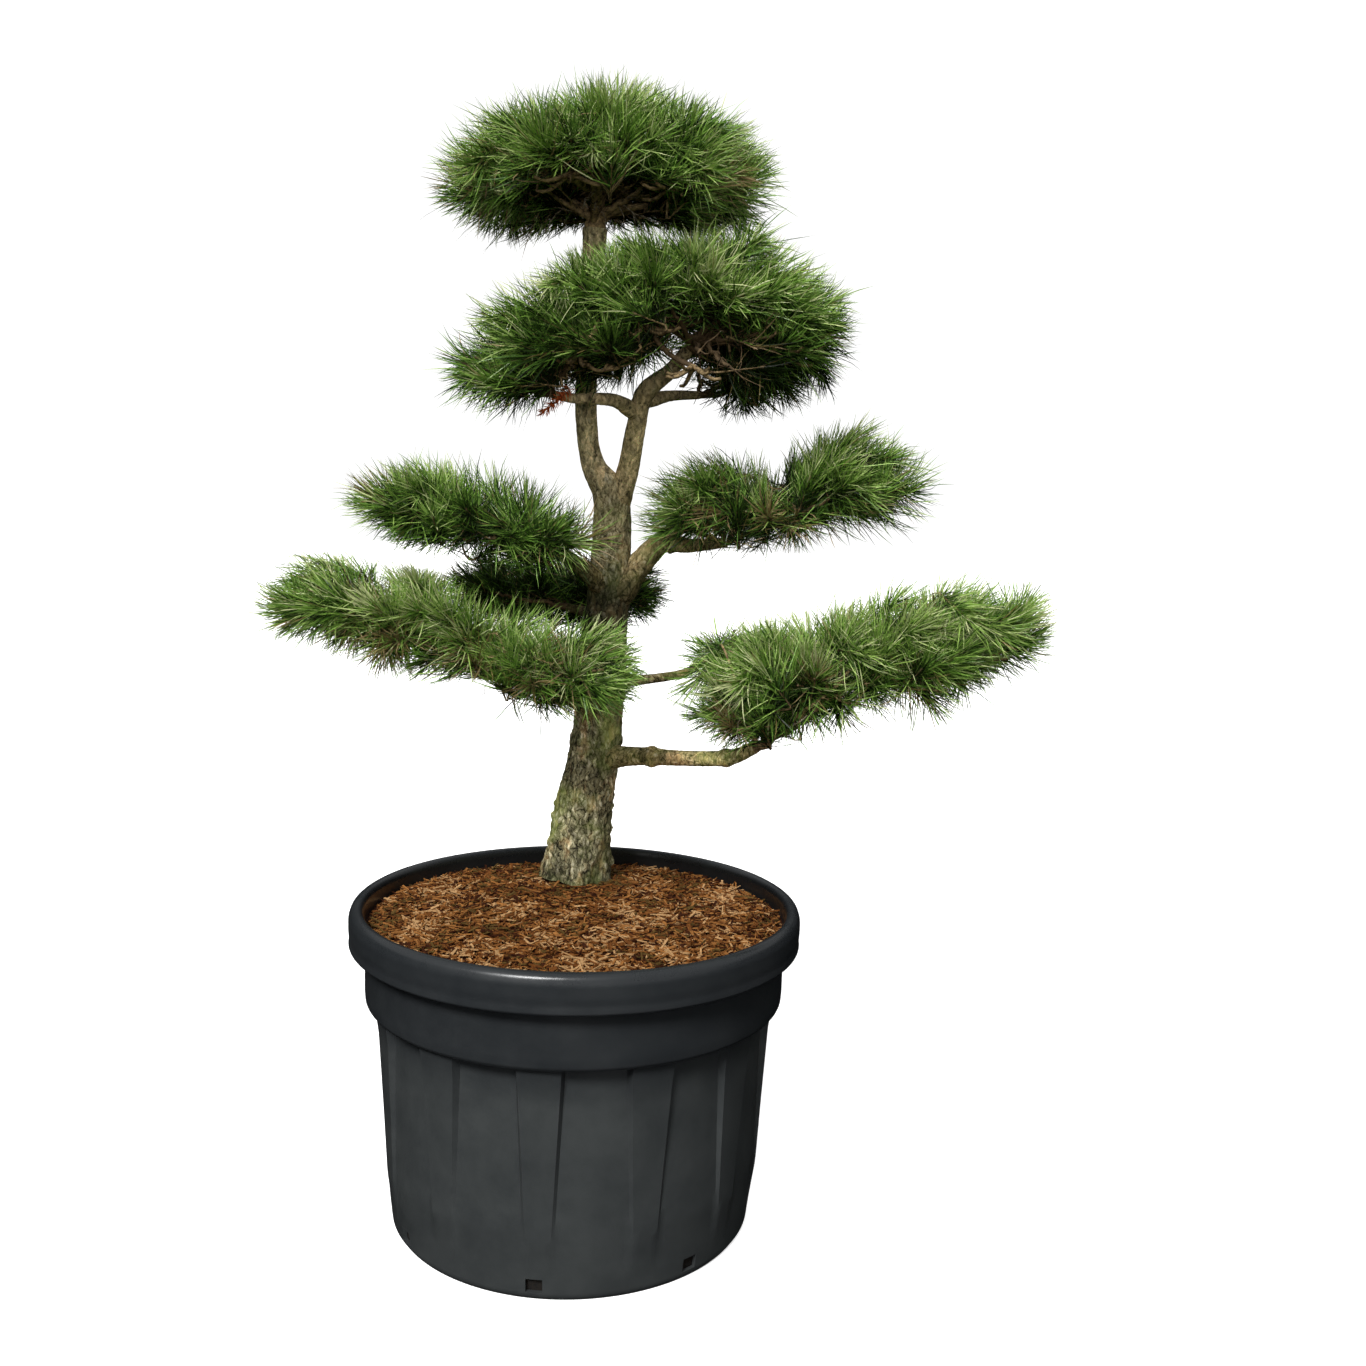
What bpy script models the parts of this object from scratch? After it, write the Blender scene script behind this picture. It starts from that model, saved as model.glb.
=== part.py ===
# Austrian pine trained as a garden bonsai, standing in a large round nursery pot.
# Units are metres, +Z is up. The origin is the centre of the pot's flat underside,
# +X is the right of the plant's front and -Y faces the viewer.

import math

import bmesh
import bpy
import numpy as np
from mathutils import Matrix, Vector

# Room left between two pieces that touch
GAP = 0.0003

# Pot: a moulded container 0.8 m across its rim, with a wall 5 mm thick
TURN_STEPS = 36
WALL = 0.005
POT_HEIGHT = 0.577
RIM_RADIUS = 0.400
LIP_HEIGHT = 0.517
COLLAR_RADIUS = 0.372
COLLAR_FOOT = 0.408
PANEL_TOP_RADIUS = 0.340
BASE_RADIUS = 0.318

# Raised ribs between the twelve long panels of the pot
RIB_COUNT = 12
RIB_HEADING = 25.3
RIB_TOP_WIDTH = 11.8
RIB_FOOT_WIDTH = 7.0
RIB_SINK = 0.0025
RIB_ROWS = [(0.407, 0.3600), (0.362, 0.3530), (0.220, 0.3425), (0.100, 0.3305)]

# Drainage holes above the pot's lower edge: three at the front, four more behind
HOLE_FRONT = [-55.5, -6.0, 42.0]
HOLE_REAR_COUNT = 4
HOLE_WIDTH = 0.028
HOLE_LOW = 0.014
HOLE_HIGH = 0.038

# Filling of the pot
ROOT_BALL_TOP = 0.508
MULCH_EDGE = 0.546
GROUND = 0.554
MULCH_ROUGHNESS = 0.004
FOOT_CLEARING = 0.10

# Trunk and limbs, as stations (x, y, z, radius) that a smooth line runs through
TRUNK_STEP = 0.05
TRUNK_ROUNDNESS = 4
LIMB_STEP = 0.035
LIMB_ROUNDNESS = 2
BARK_ROUGHNESS = 0.035
ROOT_LOBES = 5
ROOT_LOBE_DEPTH = 0.10
ROOT_LOBE_HEIGHT = 0.11

TRUNK = [
    (-0.021, 0.236, GROUND + GAP, 0.0670),
    (-0.013, 0.234, 0.655, 0.0580),
    (0.013, 0.227, 0.820, 0.0490),
    (0.027, 0.211, 1.030, 0.0425),
    (0.037, 0.191, 1.235, 0.0360),
    (0.031, 0.186, 1.300, 0.0325),
    (-0.003, 0.182, 1.360, 0.0220),
    (-0.015, 0.173, 1.468, 0.0197),
    (-0.008, 0.157, 1.645, 0.0195),
    (-0.003, 0.146, 1.768, 0.0225),
]

LIMBS = {
    "leader_right": {
        "from": "trunk",
        "line": [
            (0.034, 0.189, 1.262, 0.0240),
            (0.063, 0.175, 1.335, 0.0205),
            (0.079, 0.140, 1.419, 0.0182),
            (0.094, 0.112, 1.478, 0.0178),
            (0.139, 0.090, 1.518, 0.0133),
            (0.172, 0.068, 1.556, 0.0108),
        ],
    },
    "bough_shoulder_left": {
        "from": "leader_right",
        "line": [
            (0.081, 0.130, 1.441, 0.0125),
            (0.042, 0.080, 1.463, 0.0118),
            (-0.024, 0.040, 1.462, 0.0088),
            (-0.058, 0.024, 1.466, 0.0076),
        ],
    },
    "bough_shoulder_rear": {
        "from": "leader_right",
        "line": [
            (0.087, 0.120, 1.462, 0.0120),
            (0.135, 0.150, 1.478, 0.0100),
            (0.190, 0.185, 1.484, 0.0078),
        ],
    },
    "bough_mid_right": {
        "from": "trunk",
        "line": [
            (0.040, 0.203, 1.105, 0.0300),
            (0.084, 0.195, 1.162, 0.0245),
            (0.130, 0.186, 1.210, 0.0200),
            (0.180, 0.180, 1.208, 0.0140),
            (0.232, 0.176, 1.214, 0.0112),
        ],
    },
    "bough_mid_left": {
        "from": "trunk",
        "line": [
            (0.030, 0.200, 1.118, 0.0200),
            (-0.022, 0.135, 1.170, 0.0142),
            (-0.085, 0.100, 1.206, 0.0102),
        ],
    },
    "bough_rear": {
        "from": "trunk",
        "line": [
            (0.028, 0.208, 1.060, 0.0150),
            (-0.012, 0.262, 1.070, 0.0110),
            (-0.050, 0.300, 1.076, 0.0085),
        ],
    },
    "bough_lower_left": {
        "from": "trunk",
        "line": [
            (0.020, 0.218, 0.880, 0.0220),
            (-0.022, 0.140, 0.918, 0.0170),
            (-0.085, 0.082, 0.945, 0.0130),
            (-0.130, 0.062, 0.962, 0.0112),
        ],
    },
    "bough_lower_right": {
        "from": "trunk",
        "line": [
            (0.018, 0.224, 0.794, 0.0220),
            (0.105, 0.172, 0.809, 0.0172),
            (0.185, 0.130, 0.815, 0.0150),
            (0.268, 0.100, 0.825, 0.0145),
            (0.312, 0.087, 0.847, 0.0122),
        ],
    },
    "bough_lower_right_rear": {
        "from": "trunk",
        "line": [
            (0.024, 0.222, 0.938, 0.0125),
            (0.110, 0.278, 0.942, 0.0096),
            (0.175, 0.306, 0.951, 0.0086),
            (0.205, 0.318, 0.966, 0.0080),
        ],
    },
}

# Foliage. A pad is one or more domed lobes: centre x, y, z, half width, half depth,
# height above the centre and depth below it. The crown at the top of the trunk is a
# ring of lobes round a higher one.
CROWN_CENTRE = (0.012, 0.13, 1.842)
CROWN_RISE = 0.014
CROWN_MIDDLE = (0.165, 0.160, 0.158, 0.110)
CROWN_RING = 6
CROWN_TURN = 0.25
CROWN_SPREAD = (0.182, 0.150)
CROWN_LOBE = (0.145, 0.130, 0.118, 0.108)


def crown_lobes():
    x, y, z = CROWN_CENTRE
    lobes = [(x, y, z + CROWN_RISE, *CROWN_MIDDLE)]
    for k in range(CROWN_RING):
        angle = math.tau * (k + CROWN_TURN) / CROWN_RING
        side = x + CROWN_SPREAD[0] * math.cos(angle)
        front = y + CROWN_SPREAD[1] * math.sin(angle)
        lobes.append((side, front, z, *CROWN_LOBE))
    return lobes


PADS = {
    "pad_crown": {
        "from": "trunk",
        "seed": 11,
        "lobes": crown_lobes(),
    },
    "pad_shoulder_right": {
        "from": "leader_right",
        "seed": 12,
        "lobes": [
            (0.218, 0.050, 1.632, 0.150, 0.160, 0.150, 0.110),
            (0.095, 0.000, 1.600, 0.135, 0.150, 0.145, 0.110),
            (0.325, 0.045, 1.580, 0.135, 0.150, 0.130, 0.110),
            (0.180, -0.020, 1.530, 0.120, 0.130, 0.090, 0.085),
        ],
    },
    "pad_shoulder_left": {
        "from": "bough_shoulder_left",
        "seed": 13,
        "lobes": [
            (-0.015, -0.030, 1.545, 0.115, 0.145, 0.130, 0.100),
            (-0.126, 0.000, 1.512, 0.138, 0.150, 0.128, 0.095),
        ],
    },
    "pad_shoulder_rear": {
        "from": "bough_shoulder_rear",
        "seed": 14,
        "lobes": [
            (0.265, 0.190, 1.512, 0.150, 0.130, 0.080, 0.075),
        ],
    },
    "pad_mid_right": {
        "from": "bough_mid_right",
        "seed": 15,
        "lobes": [
            (0.215, 0.165, 1.272, 0.145, 0.150, 0.105, 0.100),
            (0.375, 0.180, 1.300, 0.138, 0.150, 0.105, 0.102),
            (0.506, 0.190, 1.332, 0.128, 0.135, 0.098, 0.098),
        ],
    },
    "pad_mid_left": {
        "from": "bough_mid_left",
        "seed": 16,
        "lobes": [
            (-0.057, 0.060, 1.228, 0.108, 0.140, 0.078, 0.086),
            (-0.193, 0.080, 1.248, 0.140, 0.150, 0.098, 0.095),
            (-0.325, 0.090, 1.274, 0.115, 0.130, 0.082, 0.085),
        ],
    },
    "pad_rear": {
        "from": "bough_rear",
        "seed": 17,
        "lobes": [
            (-0.016, 0.400, 1.103, 0.125, 0.120, 0.078, 0.075),
            (-0.205, 0.350, 1.107, 0.135, 0.120, 0.080, 0.078),
            (0.086, 0.370, 1.102, 0.078, 0.100, 0.066, 0.068),
        ],
    },
    "pad_lower_left": {
        "from": "bough_lower_left",
        "seed": 18,
        "lobes": [
            (-0.115, 0.010, 0.998, 0.148, 0.165, 0.104, 0.104),
            (0.012, -0.015, 0.992, 0.100, 0.140, 0.098, 0.086),
            (-0.290, 0.030, 1.060, 0.150, 0.150, 0.103, 0.106),
            (-0.455, 0.040, 1.094, 0.132, 0.130, 0.082, 0.092),
        ],
    },
    "pad_lower_right": {
        "from": "bough_lower_right",
        "seed": 19,
        "lobes": [
            (0.292, 0.060, 0.948, 0.142, 0.170, 0.135, 0.126),
            (0.443, 0.075, 0.995, 0.135, 0.160, 0.118, 0.126),
            (0.592, 0.090, 1.026, 0.135, 0.150, 0.122, 0.120),
            (0.728, 0.100, 1.064, 0.132, 0.140, 0.112, 0.108),
        ],
    },
    "pad_lower_right_rear": {
        "from": "bough_lower_right_rear",
        "seed": 20,
        "lobes": [
            (0.288, 0.320, 0.990, 0.118, 0.120, 0.088, 0.085),
        ],
    },
}

# Sprays of needles, larger than life so that a pad looks full. Each lobe is one clump
# of slender sprays that stand out of a small core. Lengths are shares of the way to
# the outline.
CORE_SHARE = 0.41
CORE_STEPS = 17
CORE_LEAST = 0.2
CORE_JITTER = 0.12
SPRAY_JITTER = 0.16
SPRAY_LIFT = -0.05
SPRAY_LENGTHS = (0.94, 1.18)
SPRAY_MINGLE = 1.12
SPRAY_SHARES = (1.0, 0.8, 0.6, 0.4)
SPRAY_STEPS = 7
OUTLINE_SLACK = 1.22

# Twigs of a pad
STEM_LEAD = 0.010
STEM_BEND = 0.3
STEM_STEP = 0.07
STEM_START = 0.92
TWIG_TAPER = 0.75
TWIG_RADIUS = 0.0065
TWIG_SAG = 0.013
HUB_DROP = 0.15

# Room kept round a pad: to the next pad as a share of a lobe, and to the limbs
PAD_MARGIN = 0.06
LIMB_MARGIN = 0.005
CUT_MARGIN = 0.002


# Colours are sRGB, as a person would pick them, made linear for the shader
def linear(channel):
    if channel <= 0.04045:
        return channel / 12.92
    return ((channel + 0.055) / 1.055) ** 2.4


def material(name, rgb, roughness, metallic=0.0):
    made = bpy.data.materials.new(name)
    made.use_nodes = True
    shader = made.node_tree.nodes["Principled BSDF"]
    colour = [linear(part / 255) for part in rgb]
    shader.inputs["Base Color"].default_value = (*colour, 1.0)
    shader.inputs["Roughness"].default_value = roughness
    shader.inputs["Metallic"].default_value = metallic
    made.diffuse_color = (*colour, 1.0)
    return made


def start_scene():
    for old in list(bpy.data.objects):
        bpy.data.objects.remove(old, do_unlink=True)
    plant = bpy.data.collections.new("austrian_pine_bonsai")
    cutters = bpy.data.collections.new("cutters")
    bpy.context.scene.collection.children.link(plant)
    bpy.context.scene.collection.children.link(cutters)
    return plant, cutters


PLANT, CUTTERS = start_scene()


# Small helpers for objects and modifiers
def add_object(name, mesh, collection, finish=None):
    made = bpy.data.objects.new(name, mesh)
    collection.objects.link(made)
    if finish is not None:
        made.data.materials.clear()
        made.data.materials.append(finish)
    return made


def from_bmesh(name, shape, collection, finish=None):
    mesh = bpy.data.meshes.new(name)
    shape.to_mesh(mesh)
    shape.free()
    return add_object(name, mesh, collection, finish)


def bake(thing):
    # The shape as its modifiers leave it becomes the object's own mesh
    graph = bpy.context.evaluated_depsgraph_get()
    baked = bpy.data.meshes.new_from_object(thing.evaluated_get(graph))
    thing.modifiers.clear()
    spare = thing.data
    thing.data = baked
    bpy.data.meshes.remove(spare)


def hide_cutter(thing):
    thing.hide_render = True
    thing.display_type = "WIRE"


def cut(thing, cutter):
    boolean = thing.modifiers.new("Cut", "BOOLEAN")
    boolean.operation = "DIFFERENCE"
    boolean.solver = "EXACT"
    boolean.object = cutter
    bake(thing)


def fuse(thing, pieces):
    # One union joins everything in the collection to the object, then clears it away
    boolean = thing.modifiers.new("Fuse", "BOOLEAN")
    boolean.operation = "UNION"
    boolean.solver = "EXACT"
    boolean.operand_type = "COLLECTION"
    boolean.collection = pieces
    bake(thing)
    for piece in list(pieces.objects):
        bpy.data.objects.remove(piece, do_unlink=True)
    bpy.data.collections.remove(pieces)


def keep_largest_shell(thing):
    # Sealed hollows and loose scraps are shells of their own: only the skin is kept
    shape = bmesh.new()
    shape.from_mesh(thing.data)
    left = set(shape.verts)
    shells = []
    while left:
        seed = left.pop()
        shell = [seed]
        edge_of_shell = [seed]
        while edge_of_shell:
            here = edge_of_shell.pop()
            for edge in here.link_edges:
                there = edge.other_vert(here)
                if there in left:
                    left.discard(there)
                    shell.append(there)
                    edge_of_shell.append(there)
        shells.append(shell)
    shells.sort(key=len, reverse=True)
    for shell in shells[1:]:
        bmesh.ops.delete(shape, geom=shell, context="VERTS")
    shape.to_mesh(thing.data)
    shape.free()


def shade(thing, sharp_degrees):
    thing.data.shade_smooth()
    thing.data.set_sharp_from_angle(angle=math.radians(sharp_degrees))


def turned(name, profile, finish):
    # A profile in the XZ plane turned about the vertical axis
    mesh = bpy.data.meshes.new(name)
    corners = [(radius, 0.0, height) for radius, height in profile]
    edges = [(i, i + 1) for i in range(len(corners) - 1)]
    mesh.from_pydata(corners, edges, [])
    made = add_object(name, mesh, PLANT, finish)
    screw = made.modifiers.new("Turn", "SCREW")
    screw.axis = "Z"
    screw.steps = TURN_STEPS
    screw.render_steps = TURN_STEPS
    screw.use_merge_vertices = True
    screw.merge_threshold = 0.0001
    return made


# Pot
def pot_profile():
    # From the middle of the inner floor up the inside, over the rim, down the outside
    inner = [
        (0.0, WALL),
        (BASE_RADIUS - 0.002, WALL),
        (0.3295, 0.120),
        (PANEL_TOP_RADIUS - WALL, COLLAR_FOOT - 0.002),
        (COLLAR_RADIUS - 0.011, COLLAR_FOOT + 0.006),
        (COLLAR_RADIUS - WALL, LIP_HEIGHT),
        (COLLAR_RADIUS + 0.001, POT_HEIGHT - 0.013),
    ]
    rim = [
        (RIM_RADIUS - 0.021, POT_HEIGHT - 0.002),
        (RIM_RADIUS - 0.014, POT_HEIGHT),
        (RIM_RADIUS - 0.005, POT_HEIGHT - 0.006),
        (RIM_RADIUS, POT_HEIGHT - 0.024),
        (RIM_RADIUS, LIP_HEIGHT),
        (RIM_RADIUS - WALL, LIP_HEIGHT),
        (RIM_RADIUS - WALL - 0.001, POT_HEIGHT - 0.022),
        (RIM_RADIUS - 0.018, POT_HEIGHT - 0.011),
    ]
    outer = [
        (COLLAR_RADIUS, LIP_HEIGHT + 0.010),
        (COLLAR_RADIUS, 0.440),
        (COLLAR_RADIUS - 0.006, COLLAR_FOOT),
        (PANEL_TOP_RADIUS, COLLAR_FOOT - 0.008),
        (0.3345, 0.120),
        (0.3270, 0.039),
        (BASE_RADIUS + 0.0055, 0.008),
        (BASE_RADIUS, 0.0),
        (0.0, 0.0),
    ]
    return inner + rim + outer


def inner_radius(height):
    # Inside of the wall at a height, between the corners of the profile
    corners = [(z, r) for r, z in pot_profile()[1:7]]
    heights = [z for z, r in corners]
    radii = [r for z, r in corners]
    return float(np.interp(height, heights, radii))


def make_pot(finish):
    pot = turned("pot", pot_profile(), finish)
    bake(pot)
    ribs = bpy.data.collections.new("ribs")
    bpy.context.scene.collection.children.link(ribs)
    for index in range(RIB_COUNT):
        add_rib(index, ribs)
    fuse(pot, ribs)
    rear_gap = (360 + HOLE_FRONT[0] - HOLE_FRONT[-1]) / (HOLE_REAR_COUNT + 1)
    rear = [HOLE_FRONT[-1] + rear_gap * (k + 1) for k in range(HOLE_REAR_COUNT)]
    for heading in HOLE_FRONT + rear:
        cut_drain(pot, heading)
    shade(pot, 28)
    return pot


def around(heading, radius, height):
    # Heading 0 faces the viewer and grows towards the right
    angle = math.radians(heading)
    return Vector((radius * math.sin(angle), -radius * math.cos(angle), height))


def add_rib(index, collection):
    # A wedge that stands proud under the collar and runs out flush near the foot
    shape = bmesh.new()
    bmesh.ops.create_cube(shape, size=1.0)
    upright = [e for e in shape.edges if abs(e.verts[0].co.z - e.verts[1].co.z) > 0.5]
    bmesh.ops.subdivide_edges(shape, edges=upright, cuts=len(RIB_ROWS) - 2)
    across = [e for e in shape.edges if abs(e.verts[0].co.x - e.verts[1].co.x) > 0.5]
    bmesh.ops.subdivide_edges(shape, edges=across, cuts=1)
    top = RIB_ROWS[0][0]
    foot = RIB_ROWS[-1][0]
    rows = sorted(set(round(v.co.z, 4) for v in shape.verts), reverse=True)
    for vertex in shape.verts:
        height, face_radius = RIB_ROWS[rows.index(round(vertex.co.z, 4))]
        share = (top - height) / (top - foot)
        half = (RIB_TOP_WIDTH + (RIB_FOOT_WIDTH - RIB_TOP_WIDTH) * share) / 2
        radius = face_radius
        if vertex.co.y > 0:
            height = min(height, COLLAR_FOOT - 0.006)
            radius = inner_radius(height) + WALL - RIB_SINK
        heading = RIB_HEADING + 360 / RIB_COUNT * index + 2 * half * vertex.co.x
        vertex.co = around(heading, radius, height)
    from_bmesh("rib", shape, collection)


def cut_drain(pot, heading):
    shape = bmesh.new()
    bmesh.ops.create_cube(shape, size=1.0)
    height = HOLE_HIGH - HOLE_LOW
    bmesh.ops.scale(shape, vec=(HOLE_WIDTH, 0.06, height), verts=shape.verts)
    drain = from_bmesh("drain", shape, CUTTERS)
    turn = Matrix.Rotation(math.radians(heading), 4, "Z")
    place = around(heading, BASE_RADIUS + 0.004, (HOLE_LOW + HOLE_HIGH) / 2)
    drain.data.transform(Matrix.Translation(place) @ turn)
    cut(pot, drain)
    bpy.data.objects.remove(drain, do_unlink=True)


# Filling
def make_root_ball(finish):
    heights = [0.120, COLLAR_FOOT - 0.002, COLLAR_FOOT + 0.006, ROOT_BALL_TOP]
    wall = [(inner_radius(z) - GAP, z) for z in heights]
    low = (BASE_RADIUS - 0.002 - GAP, WALL + GAP)
    profile = [(0.0, ROOT_BALL_TOP)] + wall[::-1] + [low, (0.0, WALL + GAP)]
    ball = turned("root_ball", profile, finish)
    bake(ball)
    return ball


def make_mulch(finish):
    low = ROOT_BALL_TOP + GAP
    edge = inner_radius(MULCH_EDGE) - GAP
    rings = [(edge * k / 5, GROUND + (MULCH_EDGE - GROUND) * (k / 5) ** 3) for k in range(6)]
    wall = [(inner_radius(z) - GAP, z) for z in (LIP_HEIGHT, low)]
    profile = rings + wall + [(0.0, low)]
    mulch = turned("bark_mulch", profile, finish)
    bake(mulch)
    rng = np.random.default_rng(5)
    foot = Vector(TRUNK[0][:2])
    for vertex in mulch.data.vertices:
        radius = math.hypot(vertex.co.x, vertex.co.y)
        if vertex.co.z < MULCH_EDGE - 0.001:
            continue
        lift = rng.uniform(-1, 1) * MULCH_ROUGHNESS
        if (vertex.co.xy - foot).length < FOOT_CLEARING:
            vertex.co.z = GROUND
        elif radius < edge - 0.01:
            vertex.co.z += min(lift, GROUND - vertex.co.z)
    return mulch


# Trunk and limbs
def smooth_line(stations, step=LIMB_STEP):
    # A Catmull-Rom line through the stations, with a point about every step
    given = np.array(stations, dtype=float)
    padded = np.vstack([2 * given[0] - given[1], given, 2 * given[-1] - given[-2]])
    line = []
    for i in range(1, len(padded) - 2):
        before, start, end, after = padded[i - 1:i + 3]
        length = np.linalg.norm(end[:3] - start[:3])
        count = max(2, round(length / step))
        for k in range(count):
            t = k / count
            line.append(0.5 * (
                2 * start
                + (end - before) * t
                + (2 * before - 5 * start + 4 * end - after) * t ** 2
                + (3 * start - before - 3 * end + after) * t ** 3
            ))
    line.append(given[-1])
    return np.array(line)


def tube(name, line, collection, finish=None, resolution=0):
    # A round bevelled line with its own radius at each point, as a closed mesh
    curve = bpy.data.curves.new(name, "CURVE")
    curve.dimensions = "3D"
    curve.bevel_depth = 1.0
    curve.bevel_resolution = resolution
    curve.use_fill_caps = True
    spline = curve.splines.new("POLY")
    spline.points.add(len(line) - 1)
    for point, (x, y, z, radius) in zip(spline.points, line):
        point.co = (x, y, z, 1.0)
        point.radius = radius
    wire = bpy.data.objects.new(name + "_line", curve)
    CUTTERS.objects.link(wire)
    graph = bpy.context.evaluated_depsgraph_get()
    mesh = bpy.data.meshes.new_from_object(wire.evaluated_get(graph))
    shape = bmesh.new()
    shape.from_mesh(mesh)
    bmesh.ops.remove_doubles(shape, verts=shape.verts, dist=0.00001)
    bmesh.ops.triangulate(shape, faces=shape.faces)
    bmesh.ops.recalc_face_normals(shape, faces=shape.faces)
    shape.to_mesh(mesh)
    shape.free()
    made = add_object(name, mesh, collection, finish)
    made.matrix_world = wire.matrix_world
    bpy.data.objects.remove(wire, do_unlink=True)
    return made


def roughen(limb, line, seed):
    # Bark swells and dips a little, and never at the two flat ends
    rng = np.random.default_rng(seed)
    for vertex in limb.data.vertices:
        away = np.linalg.norm(line[:, :3] - np.array(vertex.co), axis=1)
        nearest = int(away.argmin())
        swell = rng.uniform(-1, 1) * BARK_ROUGHNESS
        if 0 < nearest < len(line) - 1:
            centre = Vector(line[nearest, :3])
            vertex.co += (vertex.co - centre) * swell


def add_root_lobes(trunk, line):
    # Buttresses where the roots leave the foot of the trunk
    centre = Vector(line[0, :2])
    for vertex in trunk.data.vertices:
        height = vertex.co.z - GROUND
        if height > ROOT_LOBE_HEIGHT:
            continue
        fade = (1 - height / ROOT_LOBE_HEIGHT) ** 1.5
        out = vertex.co.xy - centre
        wave = math.cos(ROOT_LOBES * math.atan2(out.y, out.x) + 0.8)
        out *= 1 + ROOT_LOBE_DEPTH * wave * fade
        vertex.co.xy = centre + out


def grown(thing, amount):
    # A copy that is larger by the amount all round, to cut clear with
    copy = thing.copy()
    copy.data = thing.data.copy()
    CUTTERS.objects.link(copy)
    hide_cutter(copy)
    normals = [vertex.normal.copy() for vertex in copy.data.vertices]
    for vertex, normal in zip(copy.data.vertices, normals):
        vertex.co += normal * amount
    return copy


def make_trunk(finish):
    line = smooth_line(TRUNK, step=TRUNK_STEP)
    line[1, :2] = line[0, :2]
    trunk = tube("trunk", line, PLANT, finish, resolution=TRUNK_ROUNDNESS)
    roughen(trunk, line, 3)
    add_root_lobes(trunk, line)
    shade(trunk, 50)
    return trunk, line


def make_limb(name, stations, parent, finish, seed):
    line = smooth_line(stations)
    limb = tube(name, line, PLANT, finish, resolution=LIMB_ROUNDNESS)
    roughen(limb, line, seed)
    cutter = grown(parent, GAP)
    cut(limb, cutter)
    bpy.data.objects.remove(cutter, do_unlink=True)
    keep_largest_shell(limb)
    shade(limb, 50)
    return limb, line


# Foliage
def lobe_frame(lobe, points):
    # Points as shares of the lobe's half sizes: length 1 is on its outline
    x, y, z, half_x, half_y, up, down = lobe
    shares = np.atleast_2d(points) - (x, y, z)
    tall = np.where(shares[:, 2] > 0, up, down)
    return shares / np.stack([np.full(len(tall), half_x), np.full(len(tall), half_y), tall], axis=1)


def pad_reach(lobes, points):
    # How far out the points lie in the pad: 0 at the heart of a lobe, 1 on the outline
    return np.min([np.linalg.norm(lobe_frame(lobe, points), axis=1) for lobe in lobes], axis=0)


def limb_distance(line, points):
    # Distance from each point to the skin of a limb
    nearest = np.full(len(points), np.inf)
    for start, end in zip(line[:-1], line[1:]):
        along = end[:3] - start[:3]
        share = np.clip((points - start[:3]) @ along / (along @ along), 0, 1)
        radius = start[3] + (end[3] - start[3]) * share
        foot = start[:3] + share[:, None] * along
        nearest = np.minimum(nearest, np.linalg.norm(points - foot, axis=1) - radius)
    return nearest


def in_own_space(name, points, limbs):
    # Inside this pad's outline, nearer to it than to any other pad, clear of the limbs
    own = pad_reach(PADS[name]["lobes"], points)
    fine = own <= OUTLINE_SLACK
    for other, pad in PADS.items():
        if other != name:
            fine &= pad_reach(pad["lobes"], points) > own + PAD_MARGIN
    for line in limbs.values():
        fine &= limb_distance(line, points) > LIMB_MARGIN
    return fine


def to_outline(lobe, direction):
    # The point of the lobe's outline that lies in a direction from its centre
    x, y, z, half_x, half_y, up, down = lobe
    tall = up if direction[2] > 0 else down
    return np.array([x, y, z]) + np.array([half_x, half_y, tall]) * direction


def stem_lines(pad, limb_line):
    # One stem from the limb's tip to the first hub. Each later hub is reached by a twig
    # that leaves the hub it is nearest to, among those already reached.
    tip = limb_line[-1]
    along = tip[:3] - limb_line[-2][:3]
    along = along / np.linalg.norm(along)
    start = tip[:3] + along * GAP
    hubs = [np.array([x, y, z - HUB_DROP * down]) for x, y, z, _, _, _, down in pad["lobes"]]
    lines = []
    reached = []
    for hub in hubs:
        if reached:
            near = min(reached, key=lambda point: np.linalg.norm(point[:3] - hub))
            middle = (near[:3] + hub) / 2 - (0, 0, TWIG_SAG)
            thin = max(near[3] * TWIG_TAPER, TWIG_RADIUS)
            stations = [near, (*middle, thin), (*hub, thin)]
            lines.append(smooth_line(stations, step=STEM_STEP))
        else:
            radius = tip[3] * STEM_START
            lead = start + along * STEM_LEAD
            bend = lead + along * STEM_BEND * np.linalg.norm(hub - lead)
            thin = max(radius * TWIG_TAPER, TWIG_RADIUS)
            stations = [(*lead, radius), (*bend, radius), (*hub, thin)]
            first = np.array([(*start, radius)])
            lines.append(np.vstack([first, smooth_line(stations, step=STEM_STEP)]))
        reached.append(lines[-1][-1])
    return hubs, lines


def clump_core(hub, lobe, name, limbs, rng):
    # The small heart of a clump, pulled in wherever it would leave the pad's own space
    shape = bmesh.new()
    bmesh.ops.create_icosphere(shape, subdivisions=2, radius=1.0)
    steps = np.linspace(CORE_LEAST, 1.0, CORE_STEPS)
    for vertex in shape.verts:
        tip = (to_outline(lobe, np.array(vertex.co)) - hub) * CORE_SHARE
        tip *= 1 + rng.uniform(-1, 1) * CORE_JITTER
        fine = in_own_space(name, hub + steps[:, None] * tip, limbs)
        last = len(steps) if fine.all() else max(1, int(np.argmin(fine)) - 1)
        vertex.co = hub + steps[last - 1] * tip
    shape.normal_update()
    return shape


def spray_tips(shape, hub, lobe, rng):
    # Each face of the core is the foot of one spray, which points to the outline
    feet = np.array([face.calc_center_median() for face in shape.faces])
    out = feet - hub
    out /= np.linalg.norm(out, axis=1)[:, None]
    out += rng.normal(0, SPRAY_JITTER, out.shape)
    out[:, 2] += SPRAY_LIFT
    out /= np.linalg.norm(out, axis=1)[:, None]
    lengths = rng.uniform(*SPRAY_LENGTHS, len(feet))
    reach = [to_outline(lobe, direction) for direction in out]
    return feet, hub + (np.array(reach) - hub) * lengths[:, None]


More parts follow.
